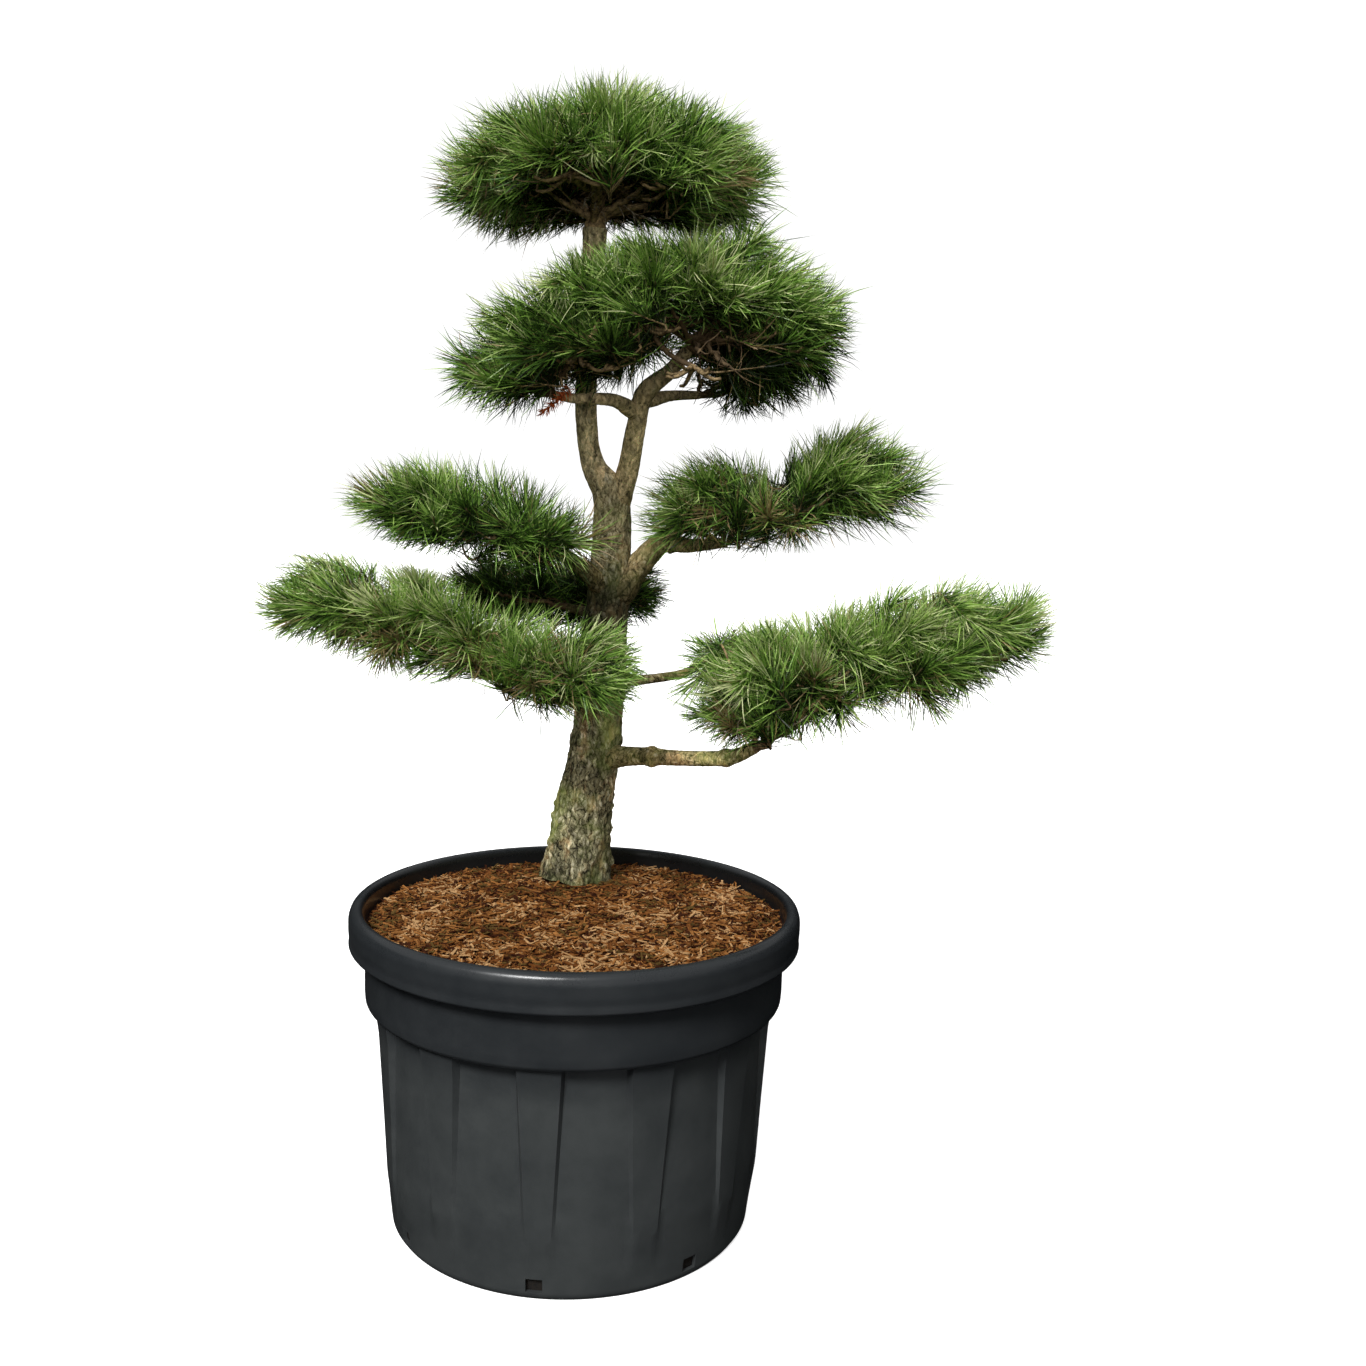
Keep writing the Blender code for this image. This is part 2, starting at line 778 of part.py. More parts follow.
def room_for_sprays(name, feet, tips, own, hubs, limbs):
    # Share of its length that each spray can have, 0 where it has no room. A spray
    # goes only a little way past halfway to another hub of the pad.
    share = np.zeros(len(feet))
    steps = np.linspace(0.1, 1.0, SPRAY_STEPS)
    for full in SPRAY_SHARES:
        points = feet[:, None] + (tips - feet)[:, None] * (steps * full)[None, :, None]
        flat = points.reshape(-1, 3)
        away = np.linalg.norm(flat[:, None] - hubs[None], axis=2)
        fine = away[:, own] <= away.min(axis=1) * SPRAY_MINGLE
        fine &= in_own_space(name, flat, limbs)
        fine = fine.reshape(len(feet), -1).all(axis=1)
        share = np.where((share == 0) & fine, full, share)
    return share


def add_clump(name, own, hubs, lobe, limbs, rng, collection):
    hub = hubs[own]
    shape = clump_core(hub, lobe, name, limbs, rng)
    faces = list(shape.faces)
    feet, tips = spray_tips(shape, hub, lobe, rng)
    share = room_for_sprays(name, feet, tips, own, hubs, limbs)
    for face, foot, tip, part in zip(faces, feet, tips, share):
        if part > 0:
            point = bmesh.ops.poke(shape, faces=[face])["verts"][0]
            point.co = foot + (tip - foot) * part
    from_bmesh("clump", shape, collection)


def make_pad(name, limbs, limb_objects, finish):
    pad = PADS[name]
    rng = np.random.default_rng(pad["seed"])
    pieces = bpy.data.collections.new(name + "_pieces")
    bpy.context.scene.collection.children.link(pieces)
    hubs, stems = stem_lines(pad, limbs[pad["from"]])
    for line in stems:
        tube("stem", line, pieces)
    hubs = np.array(hubs)
    for own, lobe in enumerate(pad["lobes"]):
        add_clump(name, own, hubs, lobe, limbs, rng, pieces)
    base = pieces.objects["stem"]
    pieces.objects.unlink(base)
    PLANT.objects.link(base)
    base.name = name
    base.data.materials.append(finish)
    fuse(base, pieces)
    clear_of_limbs(base, limbs, limb_objects)
    keep_largest_shell(base)
    return base


def clear_of_limbs(pad, limbs, limb_objects):
    # Whatever still touches a limb is cut back to the gap between two pieces
    corners = np.array([vertex.co[:] for vertex in pad.data.vertices])
    for name, line in limbs.items():
        if limb_distance(line, corners).min() < CUT_MARGIN:
            cutter = grown(limb_objects[name], GAP)
            cut(pad, cutter)
            bpy.data.objects.remove(cutter, do_unlink=True)


def build():
    pot_plastic = material("pot_black_polyethylene", (50, 52, 56), 0.45)
    peat = material("root_ball_peat", (58, 44, 34), 0.95)
    chips = material("mulch_bark_chips", (139, 96, 58), 0.9)
    bark = material("bark_old", (104, 94, 76), 0.9)
    young_bark = material("bark_young", (112, 98, 76), 0.85)
    needles = material("pine_needles", (66, 104, 44), 0.55)

    make_pot(pot_plastic)
    make_root_ball(peat)
    make_mulch(chips)
    trunk, trunk_line = make_trunk(bark)
    limb_objects = {"trunk": trunk}
    limbs = {"trunk": trunk_line}
    for seed, (name, limb) in enumerate(LIMBS.items()):
        parent = limb_objects[limb["from"]]
        made, line = make_limb(name, limb["line"], parent, young_bark, 30 + seed)
        limb_objects[name] = made
        limbs[name] = line
    for name in PADS:
        make_pad(name, limbs, limb_objects, needles)
    bpy.context.view_layer.update()


build()
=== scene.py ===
# Pine trained as a garden bonsai, in its nursery pot. Metres, +Z up, -Y towards the viewer.
import math
from functools import partial

import bmesh
import bpy
import numpy as np
from mathutils import Matrix, Vector, noise
from numpy.linalg import norm


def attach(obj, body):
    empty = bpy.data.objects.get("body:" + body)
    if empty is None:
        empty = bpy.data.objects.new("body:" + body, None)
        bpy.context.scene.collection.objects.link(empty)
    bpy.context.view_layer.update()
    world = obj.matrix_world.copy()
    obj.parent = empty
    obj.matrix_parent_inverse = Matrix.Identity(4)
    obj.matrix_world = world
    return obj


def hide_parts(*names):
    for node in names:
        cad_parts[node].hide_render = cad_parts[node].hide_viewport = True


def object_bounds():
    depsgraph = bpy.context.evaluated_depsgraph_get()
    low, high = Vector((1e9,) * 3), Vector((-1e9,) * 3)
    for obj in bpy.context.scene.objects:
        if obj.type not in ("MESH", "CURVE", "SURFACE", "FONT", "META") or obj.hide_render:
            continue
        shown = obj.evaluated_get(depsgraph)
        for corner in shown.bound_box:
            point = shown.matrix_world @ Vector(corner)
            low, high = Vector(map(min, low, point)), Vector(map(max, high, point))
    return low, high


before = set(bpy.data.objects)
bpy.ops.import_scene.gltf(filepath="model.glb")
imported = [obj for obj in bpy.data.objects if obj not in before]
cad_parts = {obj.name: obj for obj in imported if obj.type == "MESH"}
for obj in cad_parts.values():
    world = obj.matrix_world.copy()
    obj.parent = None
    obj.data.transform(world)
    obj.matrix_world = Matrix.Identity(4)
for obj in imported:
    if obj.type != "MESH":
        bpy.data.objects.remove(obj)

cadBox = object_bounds()
boxLow, boxHigh = np.array(cadBox[0]), np.array(cadBox[1])


def metres(rows):
    return [tuple(round(value / 1000, 5) for value in row) for row in rows]


# the same layout as the solids, in mm: stations are x, y, z, radius
limbStations = {limb: metres(rows) for limb, rows in {
    "trunk": [(-21, 236, 554.3, 67), (-13, 234, 655, 58), (13, 227, 820, 49), (27, 211, 1030, 42.5),
              (37, 191, 1235, 36), (31, 186, 1300, 32.5), (-3, 182, 1360, 22), (-15, 173, 1468, 19.7),
              (-8, 157, 1645, 19.5), (-3, 146, 1768, 22.5)],
    "leader_right": [(34, 189, 1262, 24), (63, 175, 1335, 20.5), (79, 140, 1419, 18.2),
                     (94, 112, 1478, 17.8), (139, 90, 1518, 13.3), (172, 68, 1556, 10.8)],
    "bough_shoulder_left": [(81, 130, 1441, 12.5), (42, 80, 1463, 11.8), (-24, 40, 1462, 8.8),
                            (-58, 24, 1466, 7.6)],
    "bough_shoulder_rear": [(87, 120, 1462, 12), (135, 150, 1478, 10), (190, 185, 1484, 7.8)],
    "bough_mid_right": [(40, 203, 1105, 30), (84, 195, 1162, 24.5), (130, 186, 1210, 20),
                        (180, 180, 1208, 14), (232, 176, 1214, 11.2)],
    "bough_mid_left": [(30, 200, 1118, 20), (-22, 135, 1170, 14.2), (-85, 100, 1206, 10.2)],
    "bough_rear": [(28, 208, 1060, 15), (-12, 262, 1070, 11), (-50, 300, 1076, 8.5)],
    "bough_lower_left": [(20, 218, 880, 22), (-22, 140, 918, 17), (-85, 82, 945, 13),
                         (-130, 62, 962, 11.2)],
    "bough_lower_right": [(18, 224, 794, 22), (105, 172, 809, 17.2), (185, 130, 815, 15),
                          (268, 100, 825, 14.5), (312, 87, 847, 12.2)],
    "bough_lower_right_rear": [(24, 222, 938, 12.5), (110, 278, 942, 9.6), (175, 306, 951, 8.6),
                               (205, 318, 966, 8)],
}.items()}
# the crown's lobes stand in a ring round a middle one; these are in metres
crownLayout = {"centre": (0.012, 0.13, 1.842), "rise": 0.014, "middle": (0.165, 0.160, 0.158, 0.110),
               "ring": 6, "turn": 0.25, "spread": (0.182, 0.150), "lobe": (0.145, 0.130, 0.118, 0.108)}


def crownLobes():
    x, y, z = crownLayout["centre"]
    lobes = [(x, y, z + crownLayout["rise"], *crownLayout["middle"])]
    spreadX, spreadY = crownLayout["spread"]
    for k in range(crownLayout["ring"]):
        angle = math.tau * (k + crownLayout["turn"]) / crownLayout["ring"]
        lobes.append((x + spreadX * math.cos(angle), y + spreadY * math.sin(angle), z,
                      *crownLayout["lobe"]))
    return lobes


# each pad has its limb and its lobes: centre x, y, z, half width, half depth, height above and depth below
# the centre, in mm
pads = {"pad_crown": ("trunk", crownLobes())}
pads.update({name: (limb, metres(rows)) for name, (limb, rows) in {
    "pad_shoulder_right": ("leader_right", [(218, 50, 1632, 150, 160, 150, 110),
        (95, 0, 1600, 135, 150, 145, 110), (325, 45, 1580, 135, 150, 130, 110),
        (180, -20, 1530, 120, 130, 90, 85)]),
    "pad_shoulder_left": ("bough_shoulder_left", [(-15, -30, 1545, 115, 145, 130, 100),
        (-126, 0, 1512, 138, 150, 128, 95)]),
    "pad_shoulder_rear": ("bough_shoulder_rear", [(265, 190, 1512, 150, 130, 80, 75)]),
    "pad_mid_right": ("bough_mid_right", [(215, 165, 1272, 145, 150, 105, 100),
        (375, 180, 1300, 138, 150, 105, 102), (506, 190, 1332, 128, 135, 98, 98)]),
    "pad_mid_left": ("bough_mid_left", [(-57, 60, 1228, 108, 140, 78, 86),
        (-193, 80, 1248, 140, 150, 98, 95), (-325, 90, 1274, 115, 130, 82, 85)]),
    "pad_rear": ("bough_rear", [(-16, 400, 1103, 125, 120, 78, 75), (-205, 350, 1107, 135, 120, 80, 78),
        (86, 370, 1102, 78, 100, 66, 68)]),
    "pad_lower_left": ("bough_lower_left", [(-115, 10, 998, 148, 165, 104, 104),
        (12, -15, 992, 100, 140, 98, 86), (-290, 30, 1060, 150, 150, 103, 106),
        (-455, 40, 1094, 132, 130, 82, 92)]),
    "pad_lower_right": ("bough_lower_right", [(292, 60, 948, 142, 170, 135, 126),
        (443, 75, 995, 135, 160, 118, 126), (592, 90, 1026, 135, 150, 122, 120),
        (728, 100, 1064, 132, 140, 112, 108)]),
    "pad_lower_right_rear": ("bough_lower_right_rear", [(288, 320, 990, 118, 120, 88, 85)]),
}.items()})


# helpers
def linearColor(hexText):
    parts = [int(hexText[i:i + 2], 16) / 255 for i in (1, 3, 5)]
    return (*[c / 12.92 if c <= 0.04045 else ((c + 0.055) / 1.055) ** 2.4 for c in parts], 1.0)


def feed(node, inputs):
    # an input, by name or number, takes a value, a hex colour or another node's output
    for key, value in inputs.items():
        if isinstance(value, bpy.types.NodeSocket):
            node.id_data.links.new(value, node.inputs[key])
        else:
            node.inputs[key].default_value = linearColor(value) if isinstance(value, str) else value


def addNode(tree, kind, *values, out=0, **named):
    # one node, given back as its output: values fill its inputs in order; a named one is an input, an
    # input's number after an i, or in small letters a setting
    node = tree.nodes.new("ShaderNode" + kind)
    inputs = dict(enumerate(values))
    for key, value in named.items():
        if key[1:].isdigit():
            inputs[int(key[1:])] = value
        elif key[0].isupper():
            inputs[key] = value
        else:
            setattr(node, key, value)
    feed(node, inputs)
    return node.outputs[out]


times, timesPlus = {"operation": "MULTIPLY"}, {"operation": "MULTIPLY_ADD"}
colorMix = {"data_type": "RGBA", "out": 2}


def newMaterial(name, roughness=0.5, ior=1.5, specular=0.5):
    made = bpy.data.materials.new(name)
    made.use_nodes = True
    shader = made.node_tree.nodes["Principled BSDF"]
    feed(shader, {"Roughness": roughness, "IOR": ior, "Specular IOR Level": specular})
    return made, shader, partial(addNode, made.node_tree)


def setRamp(output, stops):
    ramp = output.node.color_ramp
    while len(ramp.elements) < len(stops):
        ramp.elements.new(0.5)
    for element, (place, color) in zip(ramp.elements, stops):
        element.position = place
        element.color = linearColor(color)


def newObject(name, data):
    made = bpy.data.objects.new(name, data)
    bpy.context.scene.collection.objects.link(made)
    return made


def fromShape(name, shape):
    mesh = bpy.data.meshes.new(name)
    shape.to_mesh(mesh)
    shape.free()
    return newObject(name, mesh)


def addPiece(name, points, faces, materials, faceMaterial=None, smooth=False):
    mesh = bpy.data.meshes.new(name)
    mesh.vertices.add(len(points))
    mesh.vertices.foreach_set("co", np.asarray(points, dtype=np.float32).ravel())
    mesh.loops.add(faces.size)
    mesh.loops.foreach_set("vertex_index", faces.astype(np.int32).ravel())
    mesh.polygons.add(len(faces))
    mesh.polygons.foreach_set("loop_start", np.arange(0, faces.size, faces.shape[1], dtype=np.int32))
    if faceMaterial is not None:
        mesh.polygons.foreach_set("material_index", np.asarray(faceMaterial, dtype=np.int32))
    mesh.polygons.foreach_set("use_smooth", np.full(len(faces), smooth))
    mesh.update(calc_edges=True)
    for material in materials:
        mesh.materials.append(material)
    return newObject(name, mesh)


def standFor(piece, slot, *nodes):
    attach(piece, "root")
    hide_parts(*nodes)


def unit(vectors):
    return vectors / np.maximum(norm(vectors, axis=-1, keepdims=True), 1e-9)


def noiseAt(points, scale=1.0):
    flat = [noise.noise(Vector(point) * scale) for point in points.reshape(-1, 3)]
    return np.array(flat).reshape(points.shape[:-1])


def around(angle, one, other):
    # turned from one direction towards another
    return np.cos(angle)[:, None] * one + np.sin(angle)[:, None] * other


def smoothLine(stations, step):
    # Catmull-Rom through the stations, a point about every step
    given = np.array(stations, dtype=float)
    padded = np.vstack([2 * given[0] - given[1], given, 2 * given[-1] - given[-2]])
    line = []
    for i in range(1, len(padded) - 2):
        before, start, end, after = padded[i - 1:i + 3]
        count = max(2, round(norm(end[:3] - start[:3]) / step))
        for t in np.arange(count) / count:
            line.append(0.5 * (2 * start + (end - before) * t
                               + (2 * before - 5 * start + 4 * end - after) * t ** 2
                               + (3 * start - before - 3 * end + after) * t ** 3))
    line.append(given[-1])
    return np.array(line)


def ringQuads(rings, sides):
    # quads between rings of points that follow one another
    first = np.arange(sides)
    ring = np.stack([first, np.roll(first, -1), np.roll(first, -1) + sides, first + sides], axis=1)
    return np.vstack([ring + sides * k for k in range(rings - 1)])


def tubeRings(line, sides):
    # rings of points round a line, and the quads between them
    centre = line[:, :3]
    along = unit(np.gradient(centre, axis=0))
    side = np.cross(along[0], (0.31, 0.92, 0.24))
    rings = []
    turn = math.tau * np.arange(sides) / sides
    for middle, forward, radius in zip(centre, along, line[:, 3]):
        side = unit(side - forward * (side @ forward))
        rings.append(middle + radius * around(turn, side, np.cross(forward, side)))
    return np.array(rings), ringQuads(len(line), sides)


# pot: blow-moulded black polyethylene, satin with dusty scuffs; angles in degrees
potLook = {
    "height": 0.577, "rim": 0.400, "collar": 0.372, "collarFoot": 0.408, "round": 0.004, "sharpFrom": 32,
    "ribs": 12, "ribHeading": 25.3, "ribTopWidth": 11.8, "ribFootWidth": 7.0, "ribEdge": 0.9,
    "ribShare": 0.84, "holeFront": (-55.5, -6.0, 42.0), "holeRear": 4, "holeWidth": 0.028,
    "holeLow": 0.014, "holeHigh": 0.038, "holeRadius": 0.322, "holeDepth": 0.06,
    # inside is the colour of the painted shade on the inner wall above the bark
    "plastic": "#1b1e22", "dustAndFloorLightGrey": "#3f4242", "scuff": "#62635c", "inside": "#060607",
}


def potPlastic():
    # black polyethylene, moulded: a soft satin sheen, smoother on the handled rim, greyer low down partly
    # from dust and partly as painted light from the floor
    look = potLook
    made, shader, add = newMaterial("pot_black_polyethylene_moulded", 0.42, 1.51, 0.50)
    place = add("TexCoord", out="Object")
    cloud = add("TexNoise", place, Scale=11.0, Detail=9.0, Roughness=0.74)
    grains = add("TexNoise", place, Scale=260.0, Detail=3.0)
    stretch = add("Mapping", place, Scale=(9.0, 9.0, 70.0))
    scratches = add("TexNoise", stretch, Scale=3.0, Detail=8.0, Roughness=0.7)
    height = add("SeparateXYZ", place, out="Z")
    # greyer towards the bottom and darkest on the collar: partly dust, partly painted light from the floor
    # and painted shade under the rim
    below = add("MapRange", height, 0.42, 0.34, 0.34, 1.0)
    least = add("Math", below, 0.62, **times)
    dustAndFloorLight = add("MapRange", cloud, 0.30, 0.70, least, below)
    base = add("Mix", dustAndFloorLight, i6=look["plastic"], i7=look["dustAndFloorLightGrey"], **colorMix)
    rubbed = add("MapRange", scratches, 0.66, 0.80, 0.0, 0.30)
    color = add("Mix", rubbed, i6=base, i7=look["scuff"], **colorMix)
    # painted shade on the inside wall above the bark: the colour is made darker there
    level = add("VectorMath", place, (1.0, 1.0, 0.0), **times)
    far = add("VectorMath", level, operation="LENGTH", out="Value")
    within = add("MapRange", far, 0.3745, 0.3790, 1.0, 0.0)
    above = add("MapRange", height, 0.508, 0.514, 0.0, 0.82)
    inside = add("Math", within, above, **times)
    shaded = add("Mix", inside, i6=color, i7=look["inside"], **colorMix)
    rough = add("MapRange", cloud, 0.3, 0.7, 0.30, 0.52)
    handled = add("MapRange", height, 0.545, 0.565, 1.0, 0.70)
    sheen = add("Math", rough, handled, **times)
    bump = add("Bump", Strength=0.12, Distance=0.0006, Height=grains)
    feed(shader, {"Base Color": shaded, "Roughness": sheen, "Normal": bump})
    return made


def panelRadius(z):
    return np.interp(z, [0, 0.008, 0.039, 0.120, 0.400], [0.318, 0.3235, 0.3270, 0.3345, 0.3400])


def ribRadius(z):
    return np.interp(z, [0.050, 0.110, 0.220, 0.362, 0.407], [0.3285, 0.3378, 0.3440, 0.3530, 0.3600])


def potRow(radius, z, panelled):
    # one ring of the pot: the columns follow the slanting edges of the ribs
    share = min(max((0.407 - z) / 0.307, 0), 1)
    half = (potLook["ribTopWidth"] * (1 - share) + potLook["ribFootWidth"] * share) / 2
    edge, pitch = potLook["ribEdge"], 360 / potLook["ribs"]
    offsets = np.concatenate([[-half - edge, -half, -half / 2, 0, half / 2, half],
                              np.linspace(half + edge, pitch - half - edge, 12)[:-1]])
    proud = np.concatenate([[0.0, 1, 1, 1, 1, 1], np.zeros(11)])
    reach = np.full(len(offsets), radius, dtype=float)
    if panelled:
        lift = potLook["ribShare"] * max(ribRadius(z) - panelRadius(z), 0) if z > 0.05 else 0
        reach = panelRadius(z) + lift * proud
    rows = []
    for k in range(potLook["ribs"]):
        heading = np.radians(potLook["ribHeading"] + pitch * k + offsets)
        rows.append(np.stack([reach * np.sin(heading), -reach * np.cos(heading), np.full(len(heading), z)],
                             axis=1))
    return np.vstack(rows)


def rounded(corners, size, steps=4):
    # each inner corner of a profile becomes a small arc
    out = [corners[0]]
    for before, here, after in zip(corners[:-2], corners[1:-1], corners[2:]):
        before, here, after = map(np.array, (before, here, after))
        back, on = before - here, after - here
        reach = min(size, norm(back) * 0.45, norm(on) * 0.45)
        start, end = here + unit(back) * reach, here + unit(on) * reach
        for t in np.linspace(0, 1, steps):
            out.append(tuple((1 - t) ** 2 * start + 2 * t * (1 - t) * here + t ** 2 * end))
    return out + [corners[-1]]


def makeDrains():
    look = potLook
    last = look["holeFront"][-1]
    gap = (360 + look["holeFront"][0] - last) / (look["holeRear"] + 1)
    drains = bmesh.new()
    for heading in [*look["holeFront"], *(last + gap * (k + 1) for k in range(look["holeRear"]))]:
        turn = math.radians(heading)
        far, tall = look["holeRadius"], look["holeHigh"] - look["holeLow"]
        centre = (far * math.sin(turn), -far * math.cos(turn), (look["holeLow"] + look["holeHigh"]) / 2)
        made = bmesh.ops.create_cube(drains, size=1.0)["verts"]
        bmesh.ops.scale(drains, vec=(look["holeWidth"], look["holeDepth"], tall), verts=made)
        bmesh.ops.rotate(drains, cent=(0, 0, 0), matrix=Matrix.Rotation(turn, 3, "Z"), verts=made)
        bmesh.ops.translate(drains, vec=Vector(centre), verts=made)
    return fromShape("drains", drains)


def makePot():
    look = potLook
    rim, top, collar, foot = look["rim"], look["height"], look["collar"], look["collarFoot"]
    panels = [0, 0.0015, 0.004, 0.008, 0.014, 0.026, 0.039, 0.060, 0.090, *np.linspace(0.105, 0.4065, 22)]
    profile = [(0.3665, foot + 0.001), (collar - 0.001, foot + 0.006), (collar, 0.430), (collar, 0.5055),
               (0.3790, 0.5085), (0.3900, 0.5095), (0.3965, 0.5100), (rim, 0.5135), (rim - 0.0012, 0.526),
               (rim, 0.538), (rim, top - 0.018), (rim - 0.004, top - 0.006), (rim - 0.012, top),
               (rim - 0.021, top - 0.001), (0.3735, top - 0.010), (0.3670, 0.517), (0.3610, foot + 0.006),
               (0.3350, foot - 0.002), (0.3295, 0.120), (0.316, 0.0055)]
    rows = [potRow(float(panelRadius(z)), z, True) for z in panels]
    rows += [potRow(r, z, False) for r, z in rounded(profile, look["round"])]
    shape = bmesh.new()
    rings = [[shape.verts.new(p) for p in row] for row in rows]
    for lower, upper in zip(rings[:-1], rings[1:]):
        for k in range(len(lower)):
            n = (k + 1) % len(lower)
            shape.faces.new((lower[k], lower[n], upper[n], upper[k]))
    shape.faces.new(rings[0][::-1])
    shape.faces.new(rings[-1])
    bmesh.ops.recalc_face_normals(shape, faces=shape.faces)
    pot, drains = fromShape("pot_moulded", shape), makeDrains()
    boolean = pot.modifiers.new("drains", "BOOLEAN")
    boolean.operation, boolean.solver, boolean.object = "DIFFERENCE", "EXACT", drains
    mesh = bpy.data.meshes.new_from_object(pot.evaluated_get(bpy.context.evaluated_depsgraph_get()))
    pot.modifiers.clear()
    pot.data = mesh
    bpy.data.objects.remove(drains, do_unlink=True)
    mesh.shade_smooth()
    mesh.set_sharp_from_angle(angle=math.radians(look["sharpFrom"]))
    mesh.materials.clear()
    mesh.materials.append(potPlastic())
    standFor(pot, "pot_plastic", "pot")


makePot()
print("pot: moulded shell with ribs and drainage holes")


# filling: peat shows only through the drains, bark mulch on top; chips are given by middle size and spread
mulchLook = {
    "radius": 0.370, "edge": 0.546, "middle": 0.554, "top": 0.010, "rings": 60, "columns": 180,
    "lumps": 0.003, "lumpsPerMetre": 60,
    "chips": 12500, "chipsOut": 0.362, "roundTrunk": 0.072, "long": (0.0145, 0.48), "wide": (0.0033, 0.45),
    "colors": ("#b48d60", "#8f5f30", "#6a3f1a", "#381a08", "#57421f"),
    "shares": (0.17, 0.28, 0.27, 0.24, 0.04), "patchSize": 0.075, "patches": 0.55, "darkFoot": 0.45,
    "darkFootSize": 0.13,
}


def peatSoil():
    # moist peat, crumbled: crumbs of about 8 mm, dark and quite matt
    made, shader, add = newMaterial("root_ball_peat_crumbled", 0.95)
    place = add("TexCoord", out="Object")
    crumbs = add("TexNoise", place, Scale=120.0, Detail=8.0, Roughness=0.7)
    ramp = add("ValToRGB", crumbs)
    setRamp(ramp, [(0.35, "#070605"), (0.7, "#241d15")])
    feed(shader, {"Base Color": ramp, "Normal": add("Bump", Strength=0.9, Distance=0.004, Height=crumbs)})
    return made


def chipWood(name, hexText):
    # bark chips, shredded: uneven, fibrous grain 1 to 5 mm wide, quite matt
    made, shader, add = newMaterial(name, 0.88, 1.45, 0.15)
    place = add("TexCoord", out="Object")
    grain = add("TexNoise", place, Scale=220.0, Detail=5.0, Roughness=0.6)
    bright = add("MapRange", grain, 0.3, 0.7, 0.62, 1.3)
    shade = add("HueSaturation", Color=hexText, Value=bright)
    feed(shader, {"Base Color": shade, "Normal": add("Bump", Strength=0.5, Distance=0.001, Height=grain)})
    return made


def mulchHeight(x, y):
    look = mulchLook
    return look["middle"] + (look["edge"] - look["middle"]) * (np.hypot(x, y) / look["radius"]) ** 3


def makeMulch():
    look = mulchLook
    rng = np.random.default_rng(41)
    chips = [chipWood("mulch_bark_chip_%d" % (k + 1), color) for k, color in enumerate(look["colors"])]
    # the bed under the chips
    sides, fine = look["columns"], look["lumpsPerMetre"]
    radii = np.linspace(0.002, look["radius"], look["rings"])
    turn = math.tau * np.arange(sides) / sides
    x, y = radii[:, None] * np.cos(turn), radii[:, None] * np.sin(turn)
    lumps = look["lumps"] * noiseAt(np.stack([x * fine, y * fine, np.zeros(x.shape)], axis=2))
    bed = np.stack([x, y, mulchHeight(x, y) - look["lumps"] + lumps], axis=2)
    faces = ringQuads(look["rings"], sides)
    made = addPiece("mulch_bed", bed.reshape(-1, 3), faces, [chips[3]], smooth=True)
    standFor(made, "mulch_chips", "bark_mulch")
    # shredded chips, most of them lying flat
    count = look["chips"]
    reach = look["chipsOut"] * np.sqrt(rng.uniform(0, 1, count))
    heading = rng.uniform(0, math.tau, count)
    x, y = reach * np.cos(heading), reach * np.sin(heading)
    away = np.hypot(x - limbStations["trunk"][0][0], y - limbStations["trunk"][0][1])
    x, y, away = (values[away > look["roundTrunk"]] for values in (x, y, away))
    count = len(x)
    long = np.clip(rng.lognormal(math.log(look["long"][0]), look["long"][1], count), 0.006, 0.048)
    wide = np.clip(rng.lognormal(math.log(look["wide"][0]), look["wide"][1], count), 0.0014, 0.010)
    thick = rng.uniform(0.0008, 0.0026, count)
    turn = rng.uniform(0, math.tau, count)
    pitch, roll = rng.normal(0, 0.20, count), rng.normal(0, 0.35, count)
    forward = np.stack([np.cos(turn) * np.cos(pitch), np.sin(turn) * np.cos(pitch), np.sin(pitch)], axis=1)
    level = np.stack([-np.sin(turn), np.cos(turn), np.zeros(count)], axis=1)
    up = np.cross(forward, level)
    across = around(roll, level, up)
    up = np.cross(forward, across)
    centre = np.stack([x, y, mulchHeight(x, y) + rng.uniform(-0.003, 0.003, count)], axis=1)
    taper = rng.uniform(0.35, 1.0, (count, 2))
    points = np.zeros((count, 8, 3))
    for k, (a, b, c) in enumerate([(a, b, c) for a in (-1, 1) for b in (-1, 1) for c in (-1, 1)]):
        narrow = taper[:, 0] if a < 0 else taper[:, 1]
        skew = rng.uniform(-0.15, 0.15, count)
        points[:, k] = (centre + forward * (a * long / 2 * (1 + skew))[:, None]
                        + across * (b * wide / 2 * narrow)[:, None] + up * (c * thick / 2)[:, None])
    points[:, :, 2] = np.minimum(points[:, :, 2], look["middle"] + look["top"])
    quads = np.array([(0, 1, 3, 2), (4, 6, 7, 5), (0, 4, 5, 1), (2, 3, 7, 6), (0, 2, 6, 4), (1, 5, 7, 3)])
    faces = (quads[None] + 8 * np.arange(count)[:, None, None]).reshape(-1, 4)
    # damp dark patches, most of all round the trunk
    patch = noiseAt(np.column_stack([x / look["patchSize"], y / look["patchSize"], np.full(count, 5.1)]))
    damp = look["patches"] * patch + look["darkFoot"] * np.exp(-(away / look["darkFootSize"]) ** 2)
    place = np.clip(rng.uniform(0, 1, count) + damp, 0, 0.999)
    kinds = np.repeat(np.searchsorted(np.cumsum(look["shares"])[:-1], place), 6)
    made = addPiece("mulch_chips", points.reshape(-1, 3), faces, chips, kinds)
    standFor(made, "mulch_chips", "bark_mulch")


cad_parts["root_ball"].data.materials.clear()
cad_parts["root_ball"].data.materials.append(peatSoil())
makeMulch()
print("filling: peat, mulch bed and chips")


